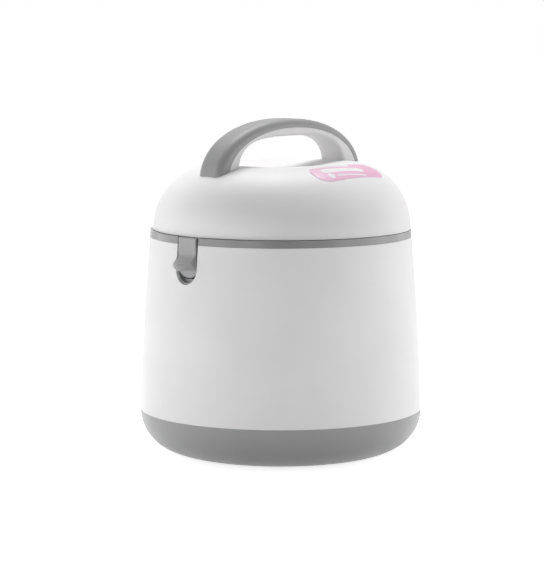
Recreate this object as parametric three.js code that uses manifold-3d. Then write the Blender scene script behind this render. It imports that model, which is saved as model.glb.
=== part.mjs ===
// A vacuum-insulated thermal cooker: a round white body on a grey base, a hinged domed lid with a carrying
// handle, a spring latch, and a steel cooking pot inside. Millimetres, +z up. The cooker stands on z = 0 with
// its axis at x = y = 0, its latch towards -y and its hinge towards +y.
import * as THREE from "three";
import { mergeVertices } from "three/addons/utils/BufferGeometryUtils.js";
import Module from "manifold-3d";

const wasm = await Module();
wasm.setup();

// Values that all pieces share
const seam = 0.3; // gap between two faces that touch
const running = 0.25; // gap round a pin that something turns on
const overrun = 5; // how far a cut runs past what it cuts
const wideSteps = 36; // facets round a large piece that shows
const innerSteps = 24; // facets round a large piece inside
const bailSteps = 36; // lengths along the pot's bail
const knobSteps = 12; // facets round the pot's knob
const boreSteps = 10; // facets round a pin, a screw or a hole
const quarterSteps = 6; // points along a quarter of a curve that shows
const archSteps = 8; // points along half of the handle's arch
const cornerSteps = 3; // points along a small or hidden corner
const sweepSteps = 4; // points along the lever's hollow front
const ellipse = 2; // the power that makes a curve part of an ellipse
const quarter = Math.PI / 2;

// Feet and base cover
const footRadius = 9;
const footThickness = 1.2;
const footInset = 15.5; // from the edge of the base's flat to the feet's circle
const baseCurveReach = 46.5; // from the edge of the base's flat out to the seam
const baseWall = 2.6;
const baseCurvePower = 2.1;
const baseLipHeight = 8;
const baseLipWall = 2.2;
const seamRadius = 136; // the widest place, where the base cover meets the shell
const seamHeight = 43.1;
const baseUnderside = footThickness + seam;
const baseFlatRadius = seamRadius - baseCurveReach;
const footCircle = baseFlatRadius - footInset;

// Outer shell
const shellHeight = 166.5;
const shellTaper = 9.8; // how much narrower it is at its top
const shellBelly = 1.3; // how far its side stands proud of a straight cone
const shellWall = 2.5;
const shellTop = seamHeight + shellHeight;
const shellTopRadius = seamRadius - shellTaper;

// Rim ring, which holds the shell and the vacuum vessel together
const ringHeight = 6.9;
const ringInset = 0.6; // its top edge lies this far inside the shell's
const ringWall = 2.4;
const ringShelfDrop = 3.2; // the sealing shelf lies this far below the ring's top
const ringShelfGap = 1.5; // from the vessel's mouth to the shelf's edge
const ringRibDepth = 6;
const ringRibWall = 2.2;
const ringTopRadius = shellTopRadius - ringInset;
const ringBottom = shellTop + seam;
const ringTop = ringBottom + ringHeight;
const shelfTop = ringTop - ringShelfDrop;
const shelfBottom = shelfTop - ringWall;

// Vacuum vessel: two steel walls, joined at the mouth
const vesselWall = 1;
const mouthInset = 19.7; // from the shell's top edge in to the vessel's mouth
const mouthFlange = 5;
const neckGap = 2; // vacuum space at the neck
const vesselBulge = 6.5; // how much wider the outer wall is below its neck
const neckDepth = 44; // from the flange down to the full width
const neckSlope = 10;
const vesselCorner = 18;
const supportThickness = 5.4;
const vesselFloorGap = 6;
const screwBossHeight = 6.5;
const mouthRadius = shellTopRadius - mouthInset; // inside the inner wall
const supportBottom = baseUnderside + screwBossHeight + seam;
const vesselBottom = supportBottom + supportThickness + seam;
const innerBottom = vesselBottom + vesselWall + vesselFloorGap;
const flangeTop = shelfBottom - seam;
const neckRadius = mouthRadius + vesselWall + neckGap + vesselWall; // outside the outer wall

// Screws: base, lid liner, handle, catch and pot knob
const screwInset = 27.5; // from the edge of the base's flat to the base screws' circle
const baseScrew = { radius: 1.8, head: 3.6, headHeight: 2.2, length: 8.2 };
const linerScrew = { radius: 1.5, head: 3, headHeight: 1.7, length: 12 };
const handleScrew = { radius: 1.8, head: 3.5, headHeight: 2.2, length: 13 };
const catchScrew = { radius: 1.1, head: 1.8, headHeight: 1.4, length: 8 };
const knobScrew = { radius: 2, head: 4, headHeight: 1.6, length: 7 };
const screwBossWall = 2.7;
const screwSink = 1.2; // how deep a base screw's head lies in its well
const screwCircle = baseFlatRadius - screwInset;
const baseScrewSeat = baseUnderside + screwSink + baseScrew.headHeight + seam;

// Inner pot, its bail and its lid
const potGap = 8; // from the pot's side to the vessel's mouth
const potWall = 0.9;
const potCorner = 12;
const potBeadWidth = 2.8;
const potBeadHeight = 2.5;
const potDiscInset = 20.5; // from the pot's side to the disc's edge
const potDiscThickness = 4;
const potRadius = mouthRadius - potGap;
const facetShare = Math.cos(Math.PI / innerSteps); // of the radius, at the middle of a facet
const potDiscBottom = innerBottom + vesselWall + seam;
const potBottom = potDiscBottom + potDiscThickness + seam;
const earThickness = 1.2;
const earWidth = 22;
const earHeight = 14;
const earTabWidth = 1.8;
const earDrop = 13; // from the pot's brim down to the bail's pivot
const earTabRim = 1; // round the bail's hole
const rivetRadius = 1.5;
const rivetHead = 2.2;
const rivetHeadHeight = 0.7;
const rivetSpacing = 13;
const rivetRise = 4.4; // above the bail's pivot
const bailWire = 1.5; // radius
const bailClearance = 0.4;
const bailStandOff = 1.7; // from the pot's side to the wire
const bailTail = 4;
const potLidOverhang = 3;
const potLidRise = 8;
const potLidCollar = 6;
const crownShares = [1, 0.8, 0.5, 0]; // places along the pot lid's crown, from its edge to its middle
const knobHeight = 9;
const knobRadius = 17;
const knobStem = 8;
const knobRoom = 4; // from the knob up to the lid's plug

// Lid cover: a dome with a round dish in its top. Towards the top it leans back to the hinge and grows longer
// than it is wide.
const lidInset = 1.35; // from the ring's edge in to the lid's
const lidHeight = 62.5;
const lidWall = 2.6;
const lidCurvePower = 2.1;
const lidCrestInset = 62.25; // from the lid's edge in to its crest
const lidDishDepth = 6;
const lidSetBack = 1.64; // of the lower edge, towards the hinge
const lidLean = 1.6; // how much further back the crest lies
const lidStretchShare = 0.09; // of the crest's radius, added along y and taken away along x
const lidRadius = ringTopRadius - lidInset;
const lidCrestRadius = lidRadius - lidCrestInset;
const lidBottom = ringTop + seam;
const lidTop = lidBottom + lidHeight;

// Lid liner, foam, gasket
const plugGap = 2.5; // from the plug to the vessel's mouth
const plugDepth = 17;
const linerWall = 2;
const linerPostInset = 24; // from the plug's side to the posts' circle
const linerPostRadius = 4.5;
const foamThickness = 23;
const gasketWidth = 6.5;
const plugRadius = mouthRadius - plugGap;
const plugBottom = lidBottom - plugDepth;
const knobSeat = plugBottom - knobRoom - knobHeight;
const potLidBottom = knobSeat - seam - potLidRise - potWall;
const knobScrewSeat = potLidBottom + potLidRise - seam;
const knobScrewTop = knobScrewSeat + knobScrew.length + seam;
const potTop = potLidBottom - seam;
const linerPostCircle = plugRadius - linerPostInset;
const linerPostFoot = plugBottom + linerWall + seam;

// Carrying handle, an arch along y with a grey cover over a white core
const handleWidth = 31;
const handleRise = 42.8; // above the lid's crest
const handleSink = 12.6; // its arches start this far below the crest, inside the dome
const handleInset = 24.75; // from the lid's edge in to the handle's foot
const handleSetBack = 0.6; // of its middle, towards the hinge
const coverDepth = 8.3; // grey cover, at the middle of the arch
const coverFootDepth = 12.5; // and at its feet
const gripThickness = 16.3;
const legThickness = 28.5;
const outerCurvePower = 2.13;
const splitCurvePower = 2.15;
const innerCurvePower = 3.15;
const handleEdge = 3.2; // how far its long edges are rounded
const coreInset = 0.4; // the core's side lies this far inside the cover's
const handleScrewSpread = 16;
const handleScrewInset = 4.6; // from a leg's inner face
const handleScrewSink = 9.6; // its seat lies this far below the lid's crest
const handleBossRadius = 4.5;
const handleHalfLength = lidRadius - handleInset;
const handleTop = lidTop + handleRise;
const handleFoot = lidTop - handleSink;
const handleScrewReach = handleHalfLength - legThickness + handleScrewInset;
const handleScrewSeat = lidTop - handleScrewSink;

// Latch: pocket, lever, pin, spring and the lid's catch. "Out" is the distance from the axis towards -y, and
// "drop" a distance down from the ring's top.
const recessHalfWidth = 12;
const recessDrop = 42.6;
const pocketWall = 1;
const pocketBackWall = 1.5;
const pocketBackGap = 0.5; // from the vessel to the pocket
const pocketFrontStep = 2; // the pocket's edge lies this far inside the shell's face
const leverSideGap = 0.6; // from the lever to the recess's wall
const leverTopGap = 0.6; // below the lid
const leverPlate = 3;
const leverSweepDrop = 14.8; // where the hollow above the lip starts
const lipReach = 16; // how far the lip stands out from the plate
const lipDrop = 26.8;
const lipThickness = 7.5;
const tongueInset = 0.4; // its top lies this far behind the plate's face
const tongueSlope = 1.5; // how much further in its lower edge lies
const tongueDrop = 38.2;
const tongueRound = 7; // height of its round end
const tongueThickness = 4.6;
const pivotInset = 6; // from the plate's face in to the pin
const pivotDrop = 24.8;
const pivotBoss = 3.4;
const pocketBoss = 2.8;
const latchPinRadius = 1.5;
const latchPinOverhang = 2.2;
const hookDepth = 3.5;
const hookHeight = 5;
const hookGap = 0.5; // from the hook's tip to the catch's tongue
const catchTopThickness = 2;
const catchTongueThickness = 3.2;
const catchHalfWidth = 7;
const catchPlateHalfWidth = 11.4;
const catchPlateDepth = 2.7; // from the tongue in to the plate's inner edge
const catchTooth = 2.8;
const catchToothHeight = 1.1;
const catchRamp = 3.9;
const catchGrip = 7.5; // from the lid's lower edge down to the tooth's top
const springRadius = 2.2;
const springWire = 0.3; // radius
const springTurns = 4;
const springTurnSteps = 8; // lengths along one turn
const springDrop = 33.3;
const wireSides = 6;
const springSides = 5;
const recessBottom = ringTop - recessDrop;
const recessBack = neckRadius + pocketBackGap + pocketBackWall;
const leverHalfWidth = recessHalfWidth - leverSideGap;
const leverOut = shellTopRadius + seam;
const leverTop = lidBottom - leverTopGap;
const lipOut = leverOut + lipReach;
const lipHeight = ringTop - lipDrop;
const tongueOut = leverOut - tongueInset;
const tongueBottomOut = tongueOut - tongueSlope;
const tongueInnerOut = tongueBottomOut - tongueThickness;
const tongueBottom = ringTop - tongueDrop;
const pivotOut = leverOut - pivotInset;
const pivotHeight = ringTop - pivotDrop;
const hookBottom = lidBottom - catchGrip;
const catchFaceOut = leverOut - leverPlate - hookDepth - hookGap; // its tongue's outer face
const catchOut = catchFaceOut - catchTongueThickness;
const catchPlateOut = catchOut - catchPlateDepth;
const springHeight = ringTop - springDrop;

// Hinge
const hingeReach = 7.4; // from the ring out to the hinge's axis
const hingeDrop = 3.8; // and from the ring's top down to it
const barrelRadius = 5;
const hingePinRadius = 1.5;
const knuckleHalfWidth = 19.7;
const earBarrelWidth = 10;
const knuckleArmHeight = 8;
const hingeOut = ringTopRadius + hingeReach;
const hingeHeight = ringTop - hingeDrop;
const hingeHalfSpan = knuckleHalfWidth + seam + earBarrelWidth; // out to the ears' ends
const hingeBoreHalf = hingeHalfSpan + overrun;

// Label on the lid's top, seen from above: its place and sizes as shares of the lid's radius
const labelXShare = 0.6;
const labelYShare = 0.115;
const labelLengthShare = 0.77;
const labelWidthShare = 0.25;
const labelCornerShare = 0.1;
const labelDegrees = 94; // its turn from the x axis
const labelThickness = 0.4;

// Finishes: colour, roughness and metalness
const finishes = {
  white: [0xf1eff0, 0.38, 0],
  grey: [0xa3a3a4, 0.45, 0],
  darkGrey: [0x8e8e90, 0.5, 0],
  steel: [0xc9cbcd, 0.28, 1],
  darkSteel: [0x9a9da0, 0.35, 1],
  rubber: [0x3c3c3e, 0.85, 0],
  silicone: [0xd8d6d2, 0.6, 0],
  foam: [0xefe6c8, 0.95, 0],
  black: [0x2b2b2d, 0.5, 0],
  pink: [0xeea9c6, 0.35, 0],
};

// Geometry to solid and back. A solid's faces always point out.
function solidOf(geometry) {
  const bare = geometry.index ? geometry.toNonIndexed() : geometry.clone();
  bare.deleteAttribute("normal");
  bare.deleteAttribute("uv");
  const merged = mergeVertices(bare, 1e-4);
  const triVerts = new Uint32Array(merged.index.array);
  const vertProperties = merged.attributes.position.array;
  const make = () => new wasm.Manifold(new wasm.Mesh({ numProp: 3, vertProperties, triVerts }));
  const solid = make();
  if (solid.volume() > 0) return solid;
  for (let i = 0; i < triVerts.length; i += 3) {
    [triVerts[i], triVerts[i + 1]] = [triVerts[i + 1], triVerts[i]];
  }
  return make();
}

function geometryOf(solid) {
  const mesh = solid.getMesh();
  const geometry = new THREE.BufferGeometry();
  geometry.setAttribute("position", new THREE.BufferAttribute(new Float32Array(mesh.vertProperties), 3));
  geometry.setIndex(new THREE.BufferAttribute(new Uint32Array(mesh.triVerts), 1));
  const flat = geometry.toNonIndexed();
  flat.computeVertexNormals();
  return flat;
}

const join = (first, ...others) => others.reduce((made, other) => made.add(other), first);
const cut = (first, ...others) => others.reduce((made, other) => made.subtract(other), first);

// Basic forms
const radians = (degrees) => (degrees * Math.PI) / 180;
const ordered = (a, b) => [Math.min(a, b), Math.max(a, b)];
const blend = (from, to, share) => from + (to - from) * share;
const shape = (points) => new THREE.Shape(points.map(([u, v]) => new THREE.Vector2(u, v)));

// A piece turned about z. Its outline is a list of [radius, z] that closes on itself or ends on the axis.
function turned(outline, steps = wideSteps, firstAngle = 0) {
  const points = outline.map(([r, z]) => new THREE.Vector2(r, z));
  const onAxis = outline[0][0] === 0 && outline.at(-1)[0] === 0;
  if (!onAxis) points.push(points[0].clone());
  return solidOf(new THREE.LatheGeometry(points, steps, firstAngle).rotateX(quarter));
}
// Pieces inside have the middles of four facets facing along x and y, so what is fixed there lies flat
const turnedInside = (outline) => turned(outline, innerSteps, Math.PI / innerSteps);

// A [y, z] outline made solid along x, centred on x = 0
function acrossX(outline, width) {
  const geometry = new THREE.ExtrudeGeometry(shape(outline), { depth: width, bevelEnabled: false });
  const turn = new THREE.Matrix4().makeBasis(
    new THREE.Vector3(0, 1, 0),
    new THREE.Vector3(0, 0, 1),
    new THREE.Vector3(1, 0, 0),
  );
  return solidOf(geometry.applyMatrix4(turn).translate(-width / 2, 0, 0));
}

// An [x, z] outline made solid along y, from one place to another
function alongY(outline, from, to) {
  const geometry = new THREE.ExtrudeGeometry(shape(outline), { depth: to - from, bevelEnabled: false });
  return solidOf(geometry.rotateX(quarter).translate(0, to, 0));
}

// An [x, y] outline made solid along z, from one height to another
function alongZ(outline, low, high) {
  const geometry = new THREE.ExtrudeGeometry(shape(outline), { depth: high - low, bevelEnabled: false });
  return solidOf(geometry.translate(0, 0, low));
}

function box(lowX, highX, lowY, highY, lowZ, highZ) {
  const geometry = new THREE.BoxGeometry(highX - lowX, highY - lowY, highZ - lowZ);
  const middle = [(lowX + highX) / 2, (lowY + highY) / 2, (lowZ + highZ) / 2];
  return solidOf(geometry.translate(...middle));
}

// A round plate about z
const roundPlate = (radius, low, high) => turnedInside([[0, low], [radius, low], [radius, high], [0, high]]);

// Rods along z and along x
function upright(radius, x, y, lowZ, highZ) {
  const geometry = new THREE.CylinderGeometry(radius, radius, highZ - lowZ, boreSteps);
  return solidOf(geometry.rotateX(quarter).translate(x, y, (lowZ + highZ) / 2));
}

function level(radius, y, z, lowX, highX) {
  const geometry = new THREE.CylinderGeometry(radius, radius, highX - lowX, boreSteps);
  return solidOf(geometry.rotateZ(quarter).translate((lowX + highX) / 2, y, z));
}

// Points of a superellipse quarter from [outer, low] to [inner, high]
function quarterCurve(outer, low, inner, high, power, steps = quarterSteps) {
  return Array.from({ length: steps + 1 }, (_, i) => {
    const t = (quarter * i) / steps;
    const along = Math.cos(t) ** (2 / power);
    const up = Math.sin(t) ** (2 / power);
    return [inner + (outer - inner) * along, low + (high - low) * up];
  });
}

// Half an outline that ends on u = 0, and its mirror image
const bothSides = (half) => [...half, ...half.slice(0, -1).reverse().map(([u, v]) => [-u, v])];

// Points of a round corner with this centre, from one angle to another
function arc(centreU, centreV, radius, from, to, steps = cornerSteps) {
  return Array.from({ length: steps + 1 }, (_, i) => {
    const angle = radians(blend(from, to, i / steps));
    return [centreU + radius * Math.cos(angle), centreV + radius * Math.sin(angle)];
  });
}

// Centres of four places on a circle, from a first angle in degrees
function fourPlaces(circle, firstAngle) {
  return [0, 1, 2, 3].map((i) => {
    const angle = radians(firstAngle) + quarter * i;
    return [circle * Math.cos(angle), circle * Math.sin(angle)];
  });
}
const screwPlaces = fourPlaces(screwCircle, 0);
const footPlaces = fourPlaces(footCircle, 45);
const linerPlaces = fourPlaces(linerPostCircle, 45);
const handleScrewPlaces = [-1, 1].flatMap((side) =>
  [-1, 1].map((end) => [(side * handleScrewSpread) / 2, handleSetBack + end * handleScrewReach]),
);
const catchScrewX = (catchHalfWidth + catchPlateHalfWidth) / 2;
const catchScrewOut = catchPlateOut + catchScrew.head + seam;

// A screw with its head's underside at z = 0 and its shank upwards
function screwSolid({ radius, head, headHeight, length }) {
  return turned(
    [
      [0, -headHeight / 2],
      [head / 2, -headHeight],
      [head, -headHeight / 2],
      [head, 0],
      [radius, 0],
      [radius, length - radius / 2],
      [radius / 2, length],
      [0, length],
    ],
    boreSteps,
  );
}

// Outlines that more than one piece follows
const shellRadiusAt = (z) => {
  const share = (z - seamHeight) / shellHeight;
  return blend(seamRadius, shellTopRadius, share) + 4 * shellBelly * share * (1 - share);
};
const shellSide = (inset, low, high) =>
  Array.from({ length: quarterSteps + 1 }, (_, i) => {
    const z = blend(low, high, i / quarterSteps);
    return [shellRadiusAt(z) - inset, z];
  });

// The recess outline seen from the front, grown by a margin and open to a height
const recessOutline = (margin, top) => {
  const half = recessHalfWidth + margin;
  const centre = recessBottom + recessHalfWidth;
  return [[half, top], ...arc(0, centre, half, 0, -180, quarterSteps * 2), [-half, top]];
};

// The lid's dome, grown outwards by a margin
const dishShare = (r) => (1 + Math.cos((Math.PI * r) / lidCrestRadius)) / 2;
function domeOutline(margin, low) {
  const crest = lidTop + margin;
  const dish = [2, 1, 0].map((i) => {
    const r = (lidCrestRadius * i) / 3;
    return [r, crest - lidDishDepth * dishShare(r)];
  });
  const side = quarterCurve(lidRadius + margin, lidBottom, lidCrestRadius, crest, lidCurvePower);
  return [[0, low], [lidRadius + margin, low], ...side.slice(low === lidBottom ? 1 : 0), ...dish];
}
function leanAndStretch(solid) {
  const geometry = geometryOf(solid);
  const places = geometry.attributes.position;
  for (let i = 0; i < places.count; i++) {
    const up = (places.getZ(i) - lidBottom) / lidHeight;
    const stretch = lidStretchShare * up;
    places.setX(i, places.getX(i) * (1 - stretch));
    places.setY(i, places.getY(i) * (1 + stretch) + lidSetBack + lidLean * up);
  }
  return solidOf(geometry);
}
const dome = (margin, low = lidBottom) => leanAndStretch(turned(domeOutline(margin, low)));

// Body
function baseCover() {
  const top = seamHeight - seam;
  const lipOuter = seamRadius - shellWall - seam;
  const lipInner = lipOuter - baseLipWall;
  const outside = quarterCurve(seamRadius, top, baseFlatRadius, baseUnderside, baseCurvePower).reverse();
  const inside = quarterCurve(
    lipInner,
    top - baseWall,
    baseFlatRadius - baseWall,
    baseUnderside + baseWall,
    baseCurvePower,
    cornerSteps,
  );
  const bowl = turned([
    [0, baseUnderside],
    ...outside,
    [lipOuter, top],
    [lipOuter, top + baseLipHeight],
    [lipInner, top + baseLipHeight],
    ...inside,
    [0, baseUnderside + baseWall],
  ]);
  const bossTop = baseUnderside + screwBossHeight;
  const bosses = screwPlaces.map(([x, y]) =>
    upright(baseScrew.head + seam + screwBossWall, x, y, baseUnderside + baseWall / 2, bossTop),
  );
  const wells = screwPlaces.map(([x, y]) =>
    upright(baseScrew.head + seam, x, y, baseUnderside - overrun, baseScrewSeat),
  );
  const holes = screwPlaces.map(([x, y]) =>
    upright(baseScrew.radius + seam, x, y, baseUnderside, bossTop + overrun),
  );
  return cut(join(bowl, ...bosses), ...wells, ...holes);
}

function outerShell() {
  const outside = shellSide(0, seamHeight, shellTop);
  const inside = shellSide(shellWall, seamHeight, shellTop);
  const tube = turned([...outside, ...inside.reverse()]);
  const front = recessOutline(pocketWall + seam, shellTop + overrun);
  const window = alongY(front, -seamRadius - overrun, -recessBack);
  return cut(tube, window);
}

function rimRing() {
  const ribOuter = shellTopRadius - shellWall - seam;
  const ribInner = ribOuter - ringRibWall;
  const riserInner = recessBack + pocketWall;
  const riserOuter = riserInner + ringWall;
  const lipInner = mouthRadius + ringShelfGap;
  const ring = turned([
    [lipInner, shelfBottom],
    [riserOuter, shelfBottom],
    [riserOuter, ringTop - ringWall],
    [ribInner, ringTop - ringWall],
    [ribInner, ringBottom - ringRibDepth],
    [ribOuter, ringBottom - ringRibDepth],
    [ribOuter, ringBottom],
    [shellTopRadius, ringBottom],
    [ringTopRadius, ringTop],
    [riserInner, ringTop],
    [riserInner, shelfTop],
    [lipInner, shelfTop],
  ]);
  const window = alongY(
    recessOutline(pocketWall + seam, ringTop + overrun),
    -shellTopRadius - overrun,
    -recessBack - pocketWall / 2,
  );
  const insideRib = turned([
    [0, seamHeight],
    [ribInner, seamHeight],
    [ribInner, ringTop - ringWall],
    [0, ringTop - ringWall],
  ]);
  const ears = [-1, 1].map((side) => {
    const [lowX, highX] = ordered(side * (knuckleHalfWidth + seam), side * hingeHalfSpan);
    const barrel = level(barrelRadius, hingeOut, hingeHeight, lowX, highX);
    const arm = box(lowX, highX, ribInner - overrun, hingeOut, ringBottom, ringTop);
    return join(barrel, cut(arm, insideRib));
  });
  const bore = level(hingePinRadius + running, hingeOut, hingeHeight, -hingeBoreHalf, hingeBoreHalf);
  return cut(join(cut(ring, window), ...ears), bore);
}

function latchPocket() {
  const back = recessBack - pocketBackWall;
  const block = alongY(recessOutline(pocketWall, ringTop), -leverOut - overrun, -back);
  const hollow = alongY(recessOutline(0, ringTop + overrun), -leverOut - 2 * overrun, -recessBack);
  const shelfRoom = box(
    -recessHalfWidth - overrun,
    recessHalfWidth + overrun,
    -recessBack - pocketWall,
    -back + overrun,
    flangeTop - vesselWall - seam,
    ringTop + overrun,
  );
  const face = turned([
    [0, seamHeight],
    ...shellSide(pocketFrontStep, seamHeight, shellTop),
    [ringTopRadius - pocketFrontStep, ringTop + seam],
    [0, ringTop + seam],
  ]);
  const ends = recessHalfWidth + pocketWall;
  const bosses = [-1, 1].map((side) => {
    const [lowX, highX] = ordered(side * (ends - pocketWall / 2), side * (ends + latchPinOverhang));
    return level(pocketBoss, -pivotOut, pivotHeight, lowX, highX);
  });
  const reach = ends + latchPinOverhang + overrun;
  const bore = level(latchPinRadius + running, -pivotOut, pivotHeight, -reach, reach);
  return cut(join(cut(block.intersect(face), hollow, shelfRoom), ...bosses), bore);
}

// A steel cup: an outer outline and the same outline inside it, by the wall
function cup(radius, bottom, top, corner, wall, brim) {
  const outline = [
    [0, bottom],
    ...arc(radius - corner, bottom + corner, corner, -90, 0),
    ...brim,
    [radius - wall, top],
    ...arc(radius - corner, bottom + corner, corner - wall, 0, -90),
    [0, bottom + wall],
  ];
  return turnedInside(outline);
}

function vesselInner() {
  const radius = mouthRadius + vesselWall;
  return cup(radius, innerBottom, flangeTop, vesselCorner, vesselWall, [
    [radius, flangeTop - vesselWall],
    [radius + mouthFlange, flangeTop - vesselWall],
    [radius + mouthFlange, flangeTop],
  ]);
}

function vesselOuter() {
  const wide = neckRadius + vesselBulge;
  const top = flangeTop - vesselWall - seam;
  const neckBottom = top - neckDepth;
  const side = (inset) => [
    [wide - inset, neckBottom - neckSlope],
    [neckRadius - inset, neckBottom],
    [neckRadius - inset, top],
  ];
  const outline = [
    [0, vesselBottom],
    ...arc(wide - vesselCorner, vesselBottom + vesselCorner, vesselCorner, -90, 0),
    ...side(0),
    ...side(vesselWall).reverse(),
    ...arc(wide - vesselCorner, vesselBottom + vesselCorner, vesselCorner - vesselWall, 0, -90),
    [0, vesselBottom + vesselWall],
  ];
  return turnedInside(outline);
}

function vesselSupport() {
  const half = baseScrew.head + seam + screwBossWall;
  const top = supportBottom + supportThickness;
  const outline = [
    [screwCircle - half, supportBottom],
    [screwCircle + half, supportBottom],
    [screwCircle + half, top],
    [screwCircle - half, top],
  ];
  const ring = turnedInside(outline);
  const holes = screwPlaces.map(([x, y]) =>
    upright(baseScrew.radius + seam, x, y, supportBottom - overrun, top + overrun),
  );
  return cut(ring, ...holes);
}

const foot = () =>
  turned(
    [
      [0, 0],
      [footRadius - footThickness / 2, 0],
      [footRadius, footThickness / 2],
      [footRadius, footThickness],
      [0, footThickness],
    ],
    boreSteps,
  );

// Inner pot
const pivotZ = potTop - earDrop;
const bailRadius = potRadius + bailStandOff + bailWire;
const bailTilt = Math.acos((potRadius + seam + bailWire) / bailRadius);
const rivetZ = pivotZ + rivetRise;
const rivetPlaces = [-1, 1].flatMap((side) => [-1, 1].map((end) => [side, (end * rivetSpacing) / 2]));

function innerPot() {
  const bead = [
    [potRadius, potTop - potBeadHeight],
    [potRadius + potBeadWidth, potTop - potBeadHeight],
    [potRadius + potBeadWidth, potTop],
  ];
  const pot = cup(potRadius, potBottom, potTop, potCorner, potWall, bead);
  const holes = rivetPlaces.map(([side, y]) => {
    const [lowX, highX] = ordered(side * (potRadius - overrun), side * (potRadius + overrun));
    return level(rivetRadius + seam, y, rivetZ, lowX, highX);
  });
  return cut(pot, ...holes);
}

// An ear's curved plate lies on the pot's side, and its tab stands out with a hole for the bail
function potEar(side) {
  const inner = potRadius + seam;
  const low = pivotZ - earHeight / 2;
  const high = pivotZ + earHeight / 2;
  const band = turnedInside([
    [inner, low],
    [inner + earThickness, low],
    [inner + earThickness, high],
    [inner, high],
  ]);
  const reach = ordered(side * (inner - overrun), side * (inner + overrun));
  const patch = box(...reach, -earWidth / 2, earWidth / 2, low - overrun, high + overrun);
  const root = side * (inner + earThickness / 2) * facetShare;
  const tip = side * (bailRadius + bailWire + bailClearance + earTabRim);
  const tab = box(...ordered(root, tip), -earTabWidth / 2, earTabWidth / 2, low, high);
  const eyeRadius = bailWire + bailClearance;
  const eye = new THREE.CylinderGeometry(eyeRadius, eyeRadius, earTabWidth + overrun, boreSteps);
  eye.translate(side * bailRadius, 0, pivotZ);
  const holes = [-1, 1].map((end) =>
    level(rivetRadius + seam, (end * rivetSpacing) / 2, rivetZ, ...reach),
  );
  return cut(join(band.intersect(patch), tab), solidOf(eye), ...holes);
}

// A rivet along x with its inner head at x = 0
function rivet() {
  const grip = potWall + seam + earThickness + 2 * seam;
  const inside = rivetHeadHeight;
  const solid = turned(
    [
      [0, -inside],
      [rivetHead - inside / 2, -inside],
      [rivetHead, 0],
      [rivetRadius, 0],
      [rivetRadius, grip],
      [rivetHead, grip],
      [rivetHead - inside / 2, grip + inside],
      [0, grip + inside],
    ],
    boreSteps,
  );
  return solid;
}

// The bail: half a ring of wire, leaning down on the pot's side, with a straight tail through each ear
class BailPath extends THREE.Curve {
  getPoint(share, target = new THREE.Vector3()) {
    const half = Math.PI * bailRadius;
    const length = half + 2 * bailTail;
    const along = share * length - bailTail;
    const side = along < half / 2 ? 1 : -1;
    const past = Math.max(-along, along - half, 0);
    const angle = Math.min(Math.max(along / bailRadius, 0), Math.PI);
    const x = past ? side * bailRadius : bailRadius * Math.cos(angle);
    const out = past ? -past : bailRadius * Math.sin(angle);
    return target.set(x, -out * Math.cos(bailTilt), -out * Math.sin(bailTilt));
  }
}

function wireAlong(path, radius, sides, steps) {
  const section = new THREE.Shape(
    Array.from({ length: sides }, (_, i) => {
      const angle = (2 * Math.PI * i) / sides;
      return new THREE.Vector2(radius * Math.cos(angle), radius * Math.sin(angle));
    }),
  );
  return solidOf(new THREE.ExtrudeGeometry(section, { steps, extrudePath: path, bevelEnabled: false }));
}

function potLid() {
  const outer = potRadius + potLidOverhang;
  const collar = potRadius - potWall - 2 * seam;
  const rimTop = potLidBottom + potWall;
  const crown = (z) =>
    crownShares.map((share) => [collar * share, z + potLidRise * (1 - share ** 2)]);
  const outline = [
    [0, potLidBottom + potLidRise],
    ...crown(potLidBottom).reverse().slice(1, -1),
    [collar - potWall, potLidBottom],
    [collar - potWall, potLidBottom - potLidCollar],
    [collar, potLidBottom - potLidCollar],
    [collar, potLidBottom],
    [outer, potLidBottom],
    [outer, rimTop],
    ...crown(rimTop),
  ];
  return cut(turnedInside(outline), upright(knobScrew.radius + seam, 0, 0, potLidBottom, knobSeat + overrun));
}

function potLidKnob() {
  const top = knobSeat + knobHeight;
  const knob = turned(
    [
      [0, knobSeat],
      [knobStem, knobSeat],
      [knobStem, knobSeat + knobHeight / 3],
      [knobRadius - knobHeight / 6, knobSeat + knobHeight / 2],
      [knobRadius, knobSeat + (knobHeight * 2) / 3],
      [knobRadius - knobHeight / 4, top - knobHeight / 12],
      [knobRadius / 2, top],
      [0, top],
    ],
    knobSteps,
  );
  return cut(knob, upright(knobScrew.radius + seam, 0, 0, knobSeat - overrun, knobScrewTop));
}

// Lid
function lidCover() {
  const shellOfDome = cut(dome(0), dome(-lidWall, lidBottom - overrun));
  const inner = dome(-lidWall / 2);
  const room = dome(-lidWall / 2, plugBottom);
  const posts = linerPlaces.map(([x, y]) => {
    const post = upright(linerPostRadius, x, y, linerPostFoot, lidTop).intersect(room);
    const low = linerPostFoot - overrun;
    return cut(post, upright(linerScrew.radius + seam, x, y, low, linerPostFoot + linerScrew.length));
  });
  const bosses = handleScrewPlaces.map(([x, y]) =>
    upright(handleBossRadius, x, y, handleScrewSeat, lidTop).intersect(inner),
  );
  const holes = handleScrewPlaces.map(([x, y]) =>
    upright(handleScrew.radius + seam, x, y, handleScrewSeat - overrun, lidTop + overrun),
  );
  return cut(join(shellOfDome, ...posts, ...bosses, hingeKnuckle()), ...holes);
}

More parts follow.
